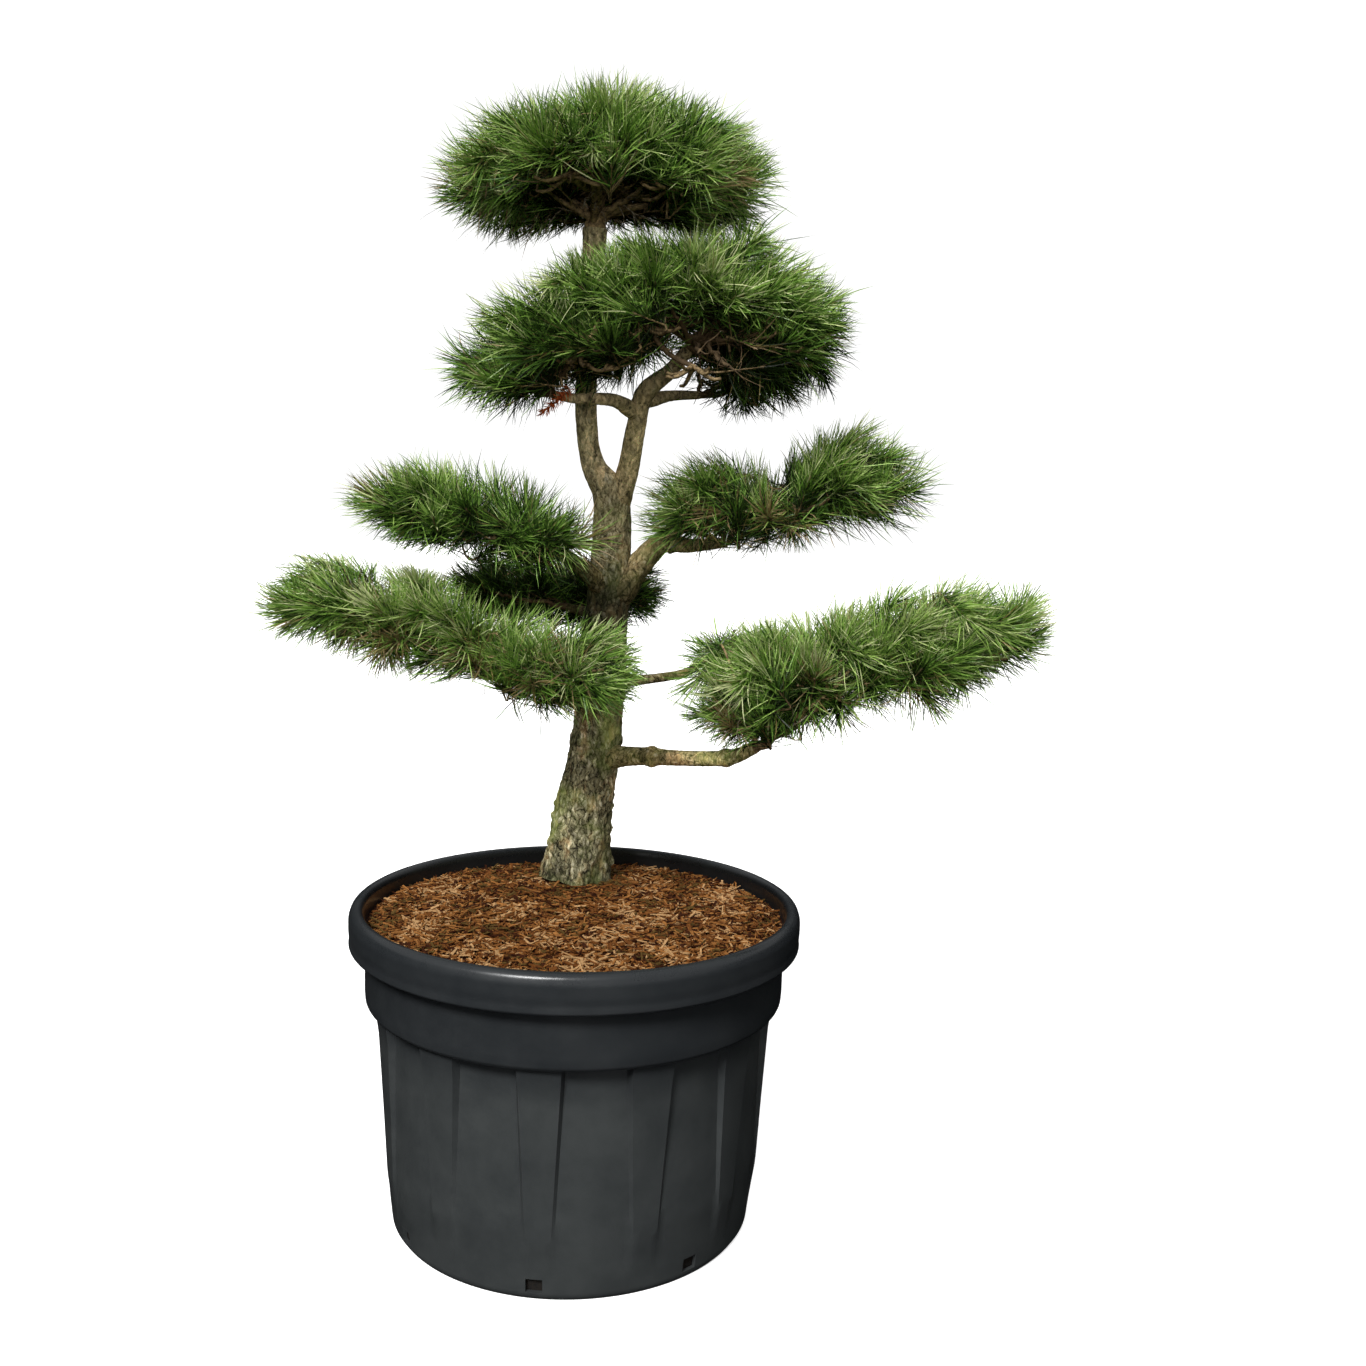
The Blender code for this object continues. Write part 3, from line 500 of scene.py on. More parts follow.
# bark: small flaking plates low on the trunk, finer and browner higher up; plate is a plate's size, and
# trunk and bough are how many sides and how large plates each has
barkLook = {
    "plate": (0.012, 0.012, 0.027), "depthLow": 0.0052, "depthHigh": 0.0016, "flake": 0.0055,
    "bright": 1.52, "trunk": (150, 1.0), "bough": (56, 0.6),
    "old": ("#17130b", "#918b69", "#dad3b8"), "young": ("#231b10", "#a9966a", "#e0d4b4"),
    "brown": "#a5845a", "algae": "#7a8842", "upper": "#cfb98c", "upperFrom": 1.12, "upperTo": 1.38,
    "ringStep": 0.0032, "hiddenFrom": 1.425, "hiddenShade": 0.45,
    "rootLobes": 5, "rootDepth": 0.10, "rootHeight": 0.11, "collar": 0.22, "swelling": 0.27,
    "swellings": {"bough_lower_right": (0.124, 0.262), "bough_mid_right": (0.150,),
                  "bough_lower_left": (-0.060,)},
    # darker at the foot, painted shade between the pads and painted sunlight above them: place up the tree
    # and brightness
    "paintedShadeAndLight": [(0.02, "#a8a8a8"), (0.10, "#e6e6e6"), (0.18, "#f8f8f8"), (0.38, "#f8f8f8"),
               (0.49, "#8e8e8e"), (0.63, "#7c7c7c"), (0.76, "#d6d6d6"), (0.90, "#ffffff")],
}


def barkMaterial(name, tones, algaeShare, darkFrom=None):
    # pine bark, weathered: thin grey-brown scales about 9 mm wide and 20 mm tall over dark cracks, with a
    # green film of algae
    look = barkLook
    made, shader, add = newMaterial(name, 0.88, 1.45, 0.20)
    place = add("TexCoord", out="Object")
    depth = add("Attribute", attribute_name="barkDepth", out="Fac")
    warp = add("TexNoise", place, Scale=42.0, Detail=4.0, Roughness=0.6, out="Color")
    swing = add("VectorMath", warp, (0.024, 0.024, 0.024), place, **timesPlus)
    tall = add("Mapping", swing, Scale=(1.0, 1.0, 0.42))
    scales = add("TexVoronoi", tall, Scale=112.0, feature="DISTANCE_TO_EDGE", out="Distance")
    plates = add("TexVoronoi", tall, Scale=112.0, out="Color")
    crack = add("MapRange", scales, 0.0, 0.16, 0.0, 1.0)
    rubble = add("TexNoise", tall, Scale=150.0, Detail=8.0, Roughness=0.72)
    lumps = add("MapRange", rubble, 0.30, 0.72, 0.0, 1.0)
    half = add("Math", crack, 0.26, 0.02, **timesPlus)
    both = add("Math", lumps, 0.46, half, **timesPlus)
    level = add("Math", depth, 0.30, both, **timesPlus)
    ramp = add("ValToRGB", level)
    setRamp(ramp, list(zip((0.24, 0.55, 0.88), tones)))
    patches = add("TexNoise", tall, Scale=34.0, Detail=6.0, Roughness=0.65)
    flaked = add("MapRange", patches, 0.52, 0.66, 0.0, 0.55)
    brown = add("Mix", flaked, i6=ramp, i7=look["brown"], **colorMix)
    height = add("SeparateXYZ", place, out="Z")
    high = add("MapRange", height, look["upperFrom"], look["upperTo"], 0.0, 1.0)
    sunned = add("Math", high, lumps, **times)
    warm = add("Mix", sunned, i6=brown, i7=look["upper"], **colorMix)
    film = add("TexNoise", place, Scale=10.0, Detail=6.0, Roughness=0.62)
    damp = add("MapRange", high, 0.0, 1.0, algaeShare, algaeShare * 0.3)
    green = add("MapRange", film, 0.44, 0.62, 0.0, damp)
    color = add("Mix", green, i6=warm, i7=look["algae"], **colorMix)
    # each plate has its own tone, in larger lighter and darker patches
    pale = add("SeparateColor", plates)
    tint = add("MapRange", pale, 0.0, 1.0, 0.80, 1.18)
    dark = add("Math", lumps, 0.95, 0.48, **timesPlus)
    speckled = add("Math", tint, dark, **times)
    blotch = add("MapRange", patches, 0.36, 0.60, 0.56, 1.30)
    mottled = add("Math", speckled, blotch, **times)
    # painted shade and light by height up the tree
    stage = add("MapRange", height, 0.55, 1.45, 0.0, 1.0)
    paintedShadeAndLight = add("ValToRGB", stage)
    setRamp(paintedShadeAndLight, look["paintedShadeAndLight"])
    lit = add("Math", mottled, paintedShadeAndLight, **times)
    value = add("Math", lit, look["bright"], **times)
    if darkFrom:
        # painted shade where the boughs go in under the needles
        hidden = add("MapRange", height, darkFrom, darkFrom + 0.045, 1.0, look["hiddenShade"])
        value = add("Math", value, hidden, **times)
    final = add("HueSaturation", Color=color, Value=value)
    feed(shader, {"Base Color": final, "Normal": add("Bump", Strength=0.85, Distance=0.0022, Height=level)})
    return made


def barkRelief(point, size):
    # 0 in a crack, up to 1 on the face of a plate; each plate has its own height and ragged edges
    place = Vector(point / size)
    place += noise.noise_vector(place * 0.8) * 0.7
    distances, seats = noise.voronoi(place)
    gap = min((distances[1] - distances[0]) / 0.45, 1.0)
    height = 0.45 + 0.35 * noise.cell(seats[0] * 7.3)
    return gap * height + 0.30 * noise.fractal(place * 1.7, 0.8, 2.0, 4)


def makeLimb(limb):
    look = barkLook
    isTrunk = limb == "trunk"
    sides, scale, material = (*look["trunk"], oldBark) if isTrunk else (*look["bough"], youngBark)
    line = smoothLine(limbStations[limb], look["ringStep"])
    if not isTrunk:
        # a collar where the bough leaves the wood it grows from, and knots along it
        run = np.concatenate([[0], np.cumsum(norm(np.diff(line[:, :3], axis=0), axis=1))])
        line[:, 3] *= 1 + look["collar"] * np.exp(-((run - 0.03) / 0.022) ** 2)
        for x in look["swellings"].get(limb, ()):
            line[:, 3] *= 1 + look["swelling"] * np.exp(-((line[:, 0] - x) / 0.008) ** 2)
    rings, quads = tubeRings(line, sides)
    outward = unit(rings - line[:, None, :3])
    size = np.array(look["plate"]) * scale
    relief = np.array([[barkRelief(point, size) for point in ring] for ring in rings])
    if isTrunk:
        low = np.clip((1.30 - line[:, 2]) / 0.75, 0, 1)
        depth = look["depthHigh"] + (look["depthLow"] - look["depthHigh"]) * low
    else:
        depth = np.minimum(line[:, 3] * 0.08, 0.0011)
    rings = rings + outward * ((relief - 0.5) * depth[:, None])[:, :, None]
    rings += outward * (noiseAt(rings, 14.0) * line[:, None, 3] * 0.06)[:, :, None]
    if isTrunk:
        # loose flakes stand off low down, and the foot spreads into five roots
        flake = np.maximum(noiseAt(rings * (70, 70, 26)) - 0.22, 0)
        rings += outward * (np.minimum(flake * 4, 1) * look["flake"] * low[:, None] ** 0.7)[:, :, None]
        height = np.clip((line[:, 2] - line[0, 2]) / look["rootHeight"], 0, 1)
        angle = np.arctan2(outward[:, :, 1], outward[:, :, 0])
        fade = ((1 - height) ** 1.5)[:, None]
        grow = 1 + look["rootDepth"] * np.cos(look["rootLobes"] * angle + 0.8) * fade
        rings[:, :, :2] = line[:, None, :2] + (rings[:, :, :2] - line[:, None, :2]) * grow[:, :, None]
    made = addPiece(limb + "_bark", rings.reshape(-1, 3), quads, [material], smooth=True)
    layer = made.data.attributes.new("barkDepth", "FLOAT", "POINT")
    layer.data.foreach_set("value", np.clip(relief, 0, 1).astype(np.float32).ravel())
    standFor(made, "old_bark" if isTrunk else "young_bark", limb)


# the warp that makes plates ragged is the same in each run
noise.seed_set(5)
oldBark = barkMaterial("trunk_pine_bark_plated", barkLook["old"], 0.60)
youngBark = barkMaterial("bough_pine_bark_scaly", barkLook["young"], 0.40, barkLook["hiddenFrom"])
for limbName in limbStations:
    makeLimb(limbName)
print("wood: trunk and %d boughs with bark relief" % (len(limbStations) - 1))


# needles: sprays round the end of each shoot, a little wider than life so that they show; angles in degrees
needleLook = {
    "length": 0.087, "width": 0.0018, "perShoot": 168, "shootLength": 0.070, "reach": 0.074,
    "upperGap": 0.043, "lowerGap": 0.050, "inset": 0.054, "bridge": 0.205, "uneven": 0.022,
    "tiltMiddle": 8, "tiltRim": 62, "tiltNoise": 23, "wander": 0.36, "away": 0.26, "upturn": 0.18,
    "loose": 0.35, "lump": 0.030, "lumpSize": 0.085, "notch": -0.38, "vigour": 0.22, "shade": 3.6,
    "deepTilt": 138, "trunkShade": 2.4, "trunkShadeReach": 0.16, "tall": 0.08, "backfill": 0.45,
    "gap": 0.02, "outline": 1.17, "strayOutline": 1.38, "strays": 0.08, "strayLength": 1.22,
    "limbGap": 0.003, "leanInner": 66, "leanLess": 50, "turnEach": 2.39996, "oldShare": 0.42,
    "pieceLimit": 190000,
}
# living green from deep shade to the sunlit tips, then old, dry and dead needles
needleTones = ["#18250b", "#2c4416", "#446522", "#5f8531", "#799f42", "#94b457", "#b0c578", "#c9d097",
               "#7a6d40", "#9c8760", "#c4622f"]
# what a mass has when padLook does not say: the share of its underside left open from the middle outwards;
# how far below level its lower shoots point, in degrees; from which y its underside is closed with sprays in
# painted shade (9 is nowhere); steps of tone, mostly painted shade and light, for all its sprays, for the
# lower ones, and, with a share of dry ones, for the deep ones; how much more often a spray is dry; a browned
# part;
# bare boughs under the needles, with the lobes that they reach for, their thickness and whether they take the
# darker shaded wood as painted shade; hollows where they show. Hollows and browned parts are centre and half
# sizes in mm.
padUsual = {"open": 0.25, "droop": 130, "back": 9, "shade": 0, "lower": 0, "deep": (0, 0), "dry": 1,
            "brown": (0, 0, 0, 1, 1, 1), "fan": 4, "fanLobes": 2, "fanThick": 0.0048,
            "darkFan": False, "hollows": ()}
padLook = {
    "pad_crown": {
        # the crown's lower and deep steps lighten its shaded underside: painted light
        "open": 0.80, "droop": 100, "back": 0.19, "shade": -0.3, "lower": 1.9, "deep": (2.2, 0.35),
        "dry": 1.6, "fan": 13, "fanLobes": 7, "fanThick": 0.0082,
        "hollows": [(15, 50, 1755, 175, 270, 80), (15, 340, 1715, 210, 200, 78)]},
    "pad_shoulder_right": {
        "open": 0.66, "droop": 108, "back": 0.045, "shade": -0.45, "lower": -1.5, "fan": 12, "fanLobes": 4,
        "fanThick": 0.0056, "darkFan": True,
        "hollows": [(160, -110, 1503, 200, 160, 98), (340, -120, 1485, 150, 150, 85)]},
    "pad_shoulder_left": {
        "open": 0.60, "droop": 112, "back": 0.045, "shade": -0.3, "lower": -0.4, "dry": 0.3, "fan": 8,
        "darkFan": True, "hollows": [(30, -100, 1455, 130, 120, 75)]},
    "pad_shoulder_rear": {"open": 0.15, "droop": 125, "shade": -2.0, "darkFan": True},
    "pad_mid_right": {
        "open": 0.55, "droop": 118, "shade": -0.3, "lower": -0.3, "dry": 1.8, "fan": 6,
        "brown": (420, 40, 1268, 120, 130, 50),
        "hollows": [(398, 50, 1292, 48, 110, 26), (343, 100, 1365, 22, 200, 55)]},
    "pad_mid_left": {"open": 0.35, "droop": 125, "shade": 0.5},
    "pad_rear": {"shade": -2.6, "darkFan": True},
    "pad_lower_left": {
        "open": 0.15, "droop": 138, "shade": 0.3, "dry": 2.4, "fan": 5,
        "brown": (-300, -70, 1030, 120, 130, 45), "hollows": [(-200, -40, 940, 110, 170, 38)]},
    "pad_lower_right": {
        "open": 0.28, "droop": 132, "shade": 0.3, "dry": 1.6, "fan": 9,
        "brown": (410, -40, 930, 70, 130, 60),
        "hollows": [(335, 0, 838, 55, 100, 45), (395, -70, 945, 60, 100, 64)]},
    "pad_lower_right_rear": {"shade": -0.8, "fan": 3, "hollows": [(270, 320, 1085, 160, 160, 48)]},
}
padLook = {name: {**padUsual, **look} for name, look in padLook.items()}
# pads that grow together into one mass
padFamily = ("pad_shoulder_right", "pad_shoulder_left", "pad_shoulder_rear")
twigLook = {
    "branchlets": 7, "thick": 0.0046, "thin": 0.0015, "sides": 5, "hubDrop": 0.15, "stemLead": 0.010,
    "stemStart": 0.97, "stemTaper": 0.45, "taper": 0.8, "least": 0.0045, "sag": 0.013, "bud": 0.012,
    "inset": 0.07, "bareRadius": 0.085, "fanThin": 0.0024, "kink": 0.0024, "twiglets": 5,
    "bark": "#b49a6c", "budColor": "#b39a72", "dry": "#b3a68b", "shaded": "#6a573b", "dark": "#4a3a26",
}


def needleMaterial(name, hexText):
    # pine needle, living: waxy cuticle over green gives a narrow soft highlight; wax wears off in patches
    made, shader, add = newMaterial(name, 0.42, 1.45, 0.42)
    place = add("TexCoord", out="Object")
    wax = add("TexNoise", place, Scale=40.0, Detail=2.0)
    feed(shader, {"Base Color": hexText, "Roughness": add("MapRange", wax, 0.3, 0.7, 0.30, 0.54)})
    return made


def twigBark(name, hexText):
    # young pine wood, scaly: dull brown with ridges about 7 mm apart, coarser than life so that they show
    made, shader, add = newMaterial(name, 0.8)
    place = add("TexCoord", out="Object")
    ridges = add("TexNoise", place, Scale=140.0, Detail=5.0, Roughness=0.65)
    ramp = add("ValToRGB", ridges)
    setRamp(ramp, [(0.36, twigLook["dark"]), (0.64, hexText)])
    feed(shader, {"Base Color": ramp, "Normal": add("Bump", Strength=0.5, Distance=0.0008, Height=ridges)})
    return made


def wideLobes(lobes):
    # lobes halfway between near neighbours, so that a pad reads as one mass
    wide = list(lobes)
    for k, one in enumerate(lobes):
        for other in lobes[k + 1:]:
            if math.dist(one[:3], other[:3]) < needleLook["bridge"]:
                wide.append(tuple((a + b) / 2 for a, b in zip(one, other)))
    return np.array(wide)


limbLines = {limb: smoothLine(stations, 0.035) for limb, stations in limbStations.items()}
padLobes = {name: wideLobes(lobes) for name, (_, lobes) in pads.items()}
padHollows = {name: np.array(metres(look["hollows"])) for name, look in padLook.items()}
massOf = {name: padFamily if name in padFamily else (name,) for name in pads}
shared = wideLobes([lobe for name in padFamily for lobe in pads[name][1]])
massLobes = {name: shared if name in padFamily else padLobes[name] for name in pads}


def padReach(lobes, points):
    # 1 on the outline, less inside it
    nearest = np.full(len(points), np.inf)
    for lobe in lobes:
        shares = points - lobe[:3]
        tall = np.where(shares[:, 2] > 0, lobe[5], lobe[6])
        away = (shares[:, 0] / lobe[3]) ** 2 + (shares[:, 1] / lobe[4]) ** 2 + (shares[:, 2] / tall) ** 2
        nearest = np.minimum(nearest, away)
    return np.sqrt(nearest)


def limbDistance(line, points):
    nearest = np.full(len(points), np.inf)
    for start, end in zip(line[:-1], line[1:]):
        along = end[:3] - start[:3]
        share = np.clip((points - start[:3]) @ along / (along @ along), 0, 1)
        radius = start[3] + (end[3] - start[3]) * share
        foot = start[:3] + share[:, None] * along
        nearest = np.minimum(nearest, norm(points - foot, axis=1) - radius)
    return nearest


def inOwnSpace(name, points, outline, bare=False):
    # inside this mass, nearer to it than to any other, clear of the limbs and hollows, inside the solids'
    # box; bare wood may cross the hollows
    own = padReach(massLobes[name], points)
    fine = own <= outline
    ragged = 1 + 0.13 * np.sin(points @ (173.0, 131.0, 97.0))
    for hollow in () if bare else padHollows[name]:
        fine &= norm((points - hollow[:3]) / hollow[3:], axis=1) > ragged
    low, high = points.min(axis=0) - 0.05, points.max(axis=0) + 0.05
    for other, lobes in padLobes.items():
        far = (lobes[:, :3] - 1.5 * lobes[:, 3:6]).min(axis=0) > high
        far |= (lobes[:, :3] + 1.5 * lobes[:, 3:6]).max(axis=0) < low
        if other not in massOf[name] and not far.any():
            fine &= padReach(lobes, points) > own + needleLook["gap"]
    fine &= ((points > boxLow) & (points < boxHigh)).all(axis=1)
    for line in limbLines.values():
        if (line[:, :3].max(axis=0) > low).all() and (line[:, :3].min(axis=0) < high).all():
            fine &= limbDistance(line, points) > needleLook["limbGap"]
    return fine


def stemLines(parent, lobes):
    # the source's rule: one stem from the bough's tip to the first hub, then from hub to hub
    look = twigLook
    before, tip = limbLines[parent][-2:]
    along = unit(tip[:3] - before[:3])
    hubs = [np.array([x, y, z - look["hubDrop"] * down]) for x, y, z, _, _, _, down in lobes]
    lines, reached = [], []
    for hub in hubs:
        if reached:
            near = min(reached, key=lambda point: norm(point[:3] - hub))
            thin = max(near[3] * look["taper"], look["least"])
            middle = (near[:3] + hub) / 2 - (0, 0, look["sag"])
            stations = [near, (*middle, thin), (*hub, thin)]
        else:
            radius = tip[3] * look["stemStart"]
            lead = tip[:3] + along * look["stemLead"]
            bend = lead + along * 0.3 * norm(hub - lead)
            thin = max(radius * look["stemTaper"], look["least"])
            stations = [(*tip[:3], radius), (*lead, radius * 0.9), (*bend, radius * 0.66), (*hub, thin)]
        lines.append(smoothLine(stations, 0.02))
        reached.append(lines[-1][-1])
    return hubs, lines


def padFrame(name, plan):
    # over each plan point: top, bottom and middle of the pad, how near the rim it is, which way is out, and
    # how far out it is in the pad less its inset
    count = len(plan)
    top, bottom, middle = (np.full(count, v) for v in (-np.inf, np.inf, 0.0))
    weight, thick, slope = np.full(count, 1e-9), np.full(count, 1e-9), np.zeros((count, 2))
    inner = np.full(count, np.inf)
    for lobe in massLobes[name]:
        away = (plan - lobe[:2]) / lobe[3:5]
        inside = 1 - (away ** 2).sum(axis=1)
        rise = np.sqrt(np.maximum(inside, 0))
        top = np.where(inside > 0, np.maximum(top, lobe[2] + lobe[5] * rise), top)
        bottom = np.where(inside > 0, np.minimum(bottom, lobe[2] - lobe[6] * rise), bottom)
        middle += lobe[2] * np.maximum(inside, 0)
        weight += np.maximum(inside, 0)
        bell = np.exp(-0.75 * (away ** 2).sum(axis=1))
        thick += bell
        slope += 1.5 * bell[:, None] * away / lobe[3:5]
        inner = np.minimum(inner, norm((plan - lobe[:2]) / (lobe[3:5] - needleLook["inset"]), axis=1))
    slope /= thick[:, None]
    steep = norm(slope, axis=1)
    out = slope / np.maximum(steep, 1e-6)[:, None]
    return top, bottom, middle / weight, np.clip(steep / 5.5, 0, 1.15), out, inner


def growShoots(name, start, rng):
    # a pad's shoots: an upper layer that stands and leans out at the rim, one on tall sides, and a lower
    # one; columns are tip, heading, kind (upper, lower, deep), shade and vigour
    look, own = needleLook, padLook[name]
    lobes = padLobes[name]
    low, high = (lobes[:, :2] - lobes[:, 3:5]).min(axis=0), (lobes[:, :2] + lobes[:, 3:5]).max(axis=0)
    grown = []
    lowerGap = look["lowerGap"] * (0.86 if own["back"] != padUsual["back"] else 1)
    for layer, spacing in (("upper", look["upperGap"]), ("side", look["lowerGap"]), ("lower", lowerGap)):
        across, deep = np.meshgrid(np.arange(low[0], high[0], spacing),
                                   np.arange(low[1], high[1], spacing * 0.866))
        across = across + spacing * 0.5 * (np.arange(len(across)) % 2)[:, None]
        plan = np.stack([across.ravel(), deep.ravel()], axis=1)
        plan += rng.normal(0, spacing * 0.22, plan.shape)
        top, bottom, middle, rim, out, inner = padFrame(name, plan)
        back = np.clip((plan[:, 1] - own["back"]) / 0.05, 0, 1) * (layer == "lower")
        keep = inner < 1 + look["backfill"] * back * (name != "pad_crown")
        if layer == "side":
            keep &= (rim > 0.45) & (top - bottom > 0.22)
        elif layer == "lower":
            keep &= rim > own["open"] * (1 - 0.85 * back)
        plan, top, bottom, middle, rim, out = (a[keep] for a in (plan, top, bottom, middle, rim, out))
        count = len(plan)
        out = unit(out * rim[:, None] + rng.normal(0, look["wander"], (count, 2)))
        noiseAngle = rng.normal(0, math.radians(look["tiltNoise"]), count)
        vigour = noiseAt(np.column_stack([plan / look["lumpSize"], np.full(count, 3.3)]))
        kind, fine = np.zeros(count), np.full(count, True)
        if layer == "upper":
            tilt = np.radians(look["tiltMiddle"] + look["tiltRim"] * rim ** 1.5) + noiseAngle
            height = top - look["reach"] + rng.normal(0, look["uneven"], count) + look["lump"] * vigour
            height = np.maximum(height, middle - 0.02) + 0.022 * (rng.uniform(0, 1, count) < look["tall"])
            fine = vigour > look["notch"]
        elif layer == "side":
            tilt = np.radians(rng.uniform(58, 88, count))
            least = bottom + look["reach"]
            height = rng.uniform(least, np.maximum(top - look["reach"] - 0.015, least))
        else:
            tilt = np.radians(own["droop"] - (own["droop"] - 88) * np.minimum(rim, 1) ** 0.8) + noiseAngle
            height = np.minimum(bottom + look["reach"], middle - 0.012)
            height = height + rng.normal(0, look["uneven"] * 0.6, count)
            fine = norm(np.column_stack([plan, height]) - start, axis=1) > twigLook["bareRadius"]
            kind = np.where(plan[:, 1] > own["back"], 2, 1)
            tilt = np.where(kind == 2, np.radians(look["deepTilt"]) + noiseAngle, tilt)
        axis = np.stack([np.sin(tilt) * out[:, 0], np.sin(tilt) * out[:, 1], np.cos(tilt)], axis=1)
        fromTrunk = plan - limbStations["trunk"][5][:2]
        # painted shade: sprays low on a pad's sides, and near the trunk in the middle left pad, take darker
        # tones
        shade = look["shade"] * ((height - bottom) / (top - bottom) - 0.6) * (kind == 0)
        if name == "pad_mid_left":
            near = norm(fromTrunk, axis=1) / look["trunkShadeReach"]
            shade -= look["trunkShade"] * np.exp(-near ** 2 / 2)
        if name != "pad_crown":
            axis[:, :2] += look["away"] * unit(fromTrunk) * (0.4 + 0.6 * rng.uniform(0, 1, (count, 1)))
        grown.append(np.column_stack([plan, height, unit(axis), kind, shade, vigour])[fine])
    return np.vstack(grown)


def bendTwig(start, leave, end, arrive, radii, steps=5, stiff=0.4, kinks=None):
    # a cubic run that leaves one way and arrives another, with small kinks where the wood is old
    reach = norm(end - start) * stiff
    a, b = start + leave * reach, end - arrive * reach
    t = np.linspace(0, 1, steps)[:, None]
    run = (1 - t) ** 3 * start + 3 * t * (1 - t) ** 2 * a + 3 * t ** 2 * (1 - t) * b + t ** 3 * end
    if kinks is not None:
        run[1:-1] += kinks.normal(0, twigLook["kink"], run[1:-1].shape)
    return np.hstack([run, (radii[0] + (radii[1] - radii[0]) * t)])


def needleRun(base, heading, ending, long, share):
    # a point along a needle that leaves one way and ends another
    return base + long * (heading * (share - share ** 2 / 2) + ending * share ** 2 / 2)


def needleArrays(name, tips, axes, lengths, rng, free=False):
    # every needle is a bent ribbon of five triangles; the outer spray of a shoot is this year's, the inner
    # one older; free ones may leave the mass
    look = needleLook
    per = look["perShoot"]
    count = len(tips) * per
    axis, tip = np.repeat(axes, per, axis=0), np.repeat(tips, per, axis=0)
    t = np.clip(np.tile((np.arange(per) + 0.5) / per, len(tips)) + rng.normal(0, 0.03, count), 0, 1)
    lean = np.radians(look["leanInner"] - look["leanLess"] * t ** 1.2) + rng.normal(0, look["loose"], count)
    turn = np.tile(np.arange(per) * look["turnEach"], len(tips)) + rng.normal(0, 0.35, count)
    side = unit(np.cross(axis, (0.21, 0.13, 0.97)))
    heading = unit(around(lean, axis, around(turn, side, np.cross(axis, side))))
    stray = rng.uniform(0, 1, count) < look["strays"]
    lift = np.where(stray, -0.35, look["upturn"])[:, None] * (0, 0, 1)
    ending = unit(heading + 0.12 * axis + lift + rng.normal(0, look["loose"], (count, 3)))
    long = look["length"] * np.repeat(lengths, per) * np.clip(rng.normal(1.0, 0.14, count), 0.6, 1.3)
    long *= np.where(stray, look["strayLength"], 1.0)
    edge = look["outline"] + np.repeat(rng.normal(0, 0.08, len(tips)), per)
    outline = np.where(stray, look["strayOutline"], edge)
    base = tip - axis * (look["shootLength"] * (1 - t))[:, None]
    share = np.full(count, 1.0 if free else 0.0)
    for full in (1.0, 0.85, 0.7, 0.5):
        todo = np.flatnonzero(share == 0)
        if len(todo) == 0:
            break
        part = (long * full)[todo, None]
        middle, point = (needleRun(base[todo], heading[todo], ending[todo], part, s) for s in (0.6, 1.0))
        fine = inOwnSpace(name, point, outline[todo]) & inOwnSpace(name, middle, outline[todo])
        share[todo[fine]] = full
    keep = share > 0
    base, heading, ending = base[keep], heading[keep], ending[keep]
    part = (long * share)[keep][:, None]
    flat = unit(np.cross(heading, unit(rng.normal(0, 1, heading.shape)))) * look["width"] / 2
    low, high, point = (needleRun(base, heading, ending, part, s) for s in (0.36, 0.72, 1.0))
    points = np.stack([base - flat * 0.8, base + flat * 0.8, low - flat, low + flat,
                       high - flat * 0.85, high + flat * 0.85, point], axis=1)
    spray = np.repeat(np.arange(len(tips)) * 2, per) + (t > look["oldShare"])
    return points, spray[keep]


needleColors = [needleMaterial("needles_tone_%02d" % (k + 1), tone) for k, tone in enumerate(needleTones)]
twigMaterials = [twigBark(name, twigLook[tone]) for name, tone in (
    ("twigs_young_wood", "bark"), ("buds_resinous", "budColor"), ("twiglets_dry_wood", "dry"),
    ("twigs_shaded_wood", "shaded"))]
# a spray's tone by where it grows: mean place in the list, its spread, and the share of dry ones; the lower
# sprays sit darker partly as older needles and partly as painted shade, the deep ones at the back as painted
# shade
toneChances = {"upperNew": (4.4, 0.8, 0.0), "upperOld": (2.3, 0.8, 0.01), "lowerNew": (3.0, 0.9, 0.04),
               "lowerOld": (1.2, 0.8, 0.20), "deepNew": (0.9, 0.6, 0.0), "deepOld": (0.4, 0.5, 0.1)}
# needles darken towards the shoot by steps, partly for the sheath and partly as painted shade, and some are
# pale at the tip; dry ones are mixed in
toneSteps = {"foot": -3, "tip": 1, "tipShare": 0.50, "noise": 1.35, "dryUpper": 0.012, "dryLower": 0.05,
             "dryMix": 0.6, "dryInBrown": 0.5}
deadSpray = {"tip": (-0.074, -0.010, 1.434), "axis": (-0.40, -0.35, -0.40), "length": 0.20}
lastGreen, dryTones, deadTone = 7, (8, 10), 10


def dealTones(name, tips, kinds, shade, spray, rng):
    # two sprays to a shoot, the inner one older and deeper; each needle keeps near its spray's tone
    own = padLook[name]
    means, dryness = [], []
    zone = np.array(metres([own["brown"]])[0])
    brown = toneSteps["dryInBrown"] * (norm((tips - zone[:3]) / zone[3:], axis=1) < 1)
    for kind, level, inZone in zip(kinds, shade + own["shade"], brown):
        inner, innerDry = own["deep"] if kind == 2 else (0, 0)
        for age in ("Old", "New"):
            mean, spread, dryShare = toneChances[("upper", "lower", "deep")[kind] + age]
            tone = rng.normal(mean + level + (kind > 0) * own["lower"] + inner, spread)
            means.append(min(max(tone, 0), lastGreen))
            dryness.append(rng.uniform() < max(dryShare * own["dry"], inZone, innerDry))
    means, dryness = np.array(means), np.array(dryness)
    tones = np.round(means[spray] + rng.normal(0, toneSteps["noise"], len(spray)))
    tones = np.clip(tones, 0, lastGreen).astype(int)
    dryChance = np.where(kinds[spray // 2] == 0, toneSteps["dryUpper"], toneSteps["dryLower"])
    dry = rng.uniform(0, 1, len(spray)) < dryChance + toneSteps["dryMix"] * dryness[spray]
    return np.where(dry, rng.integers(*dryTones, len(spray)), tones)


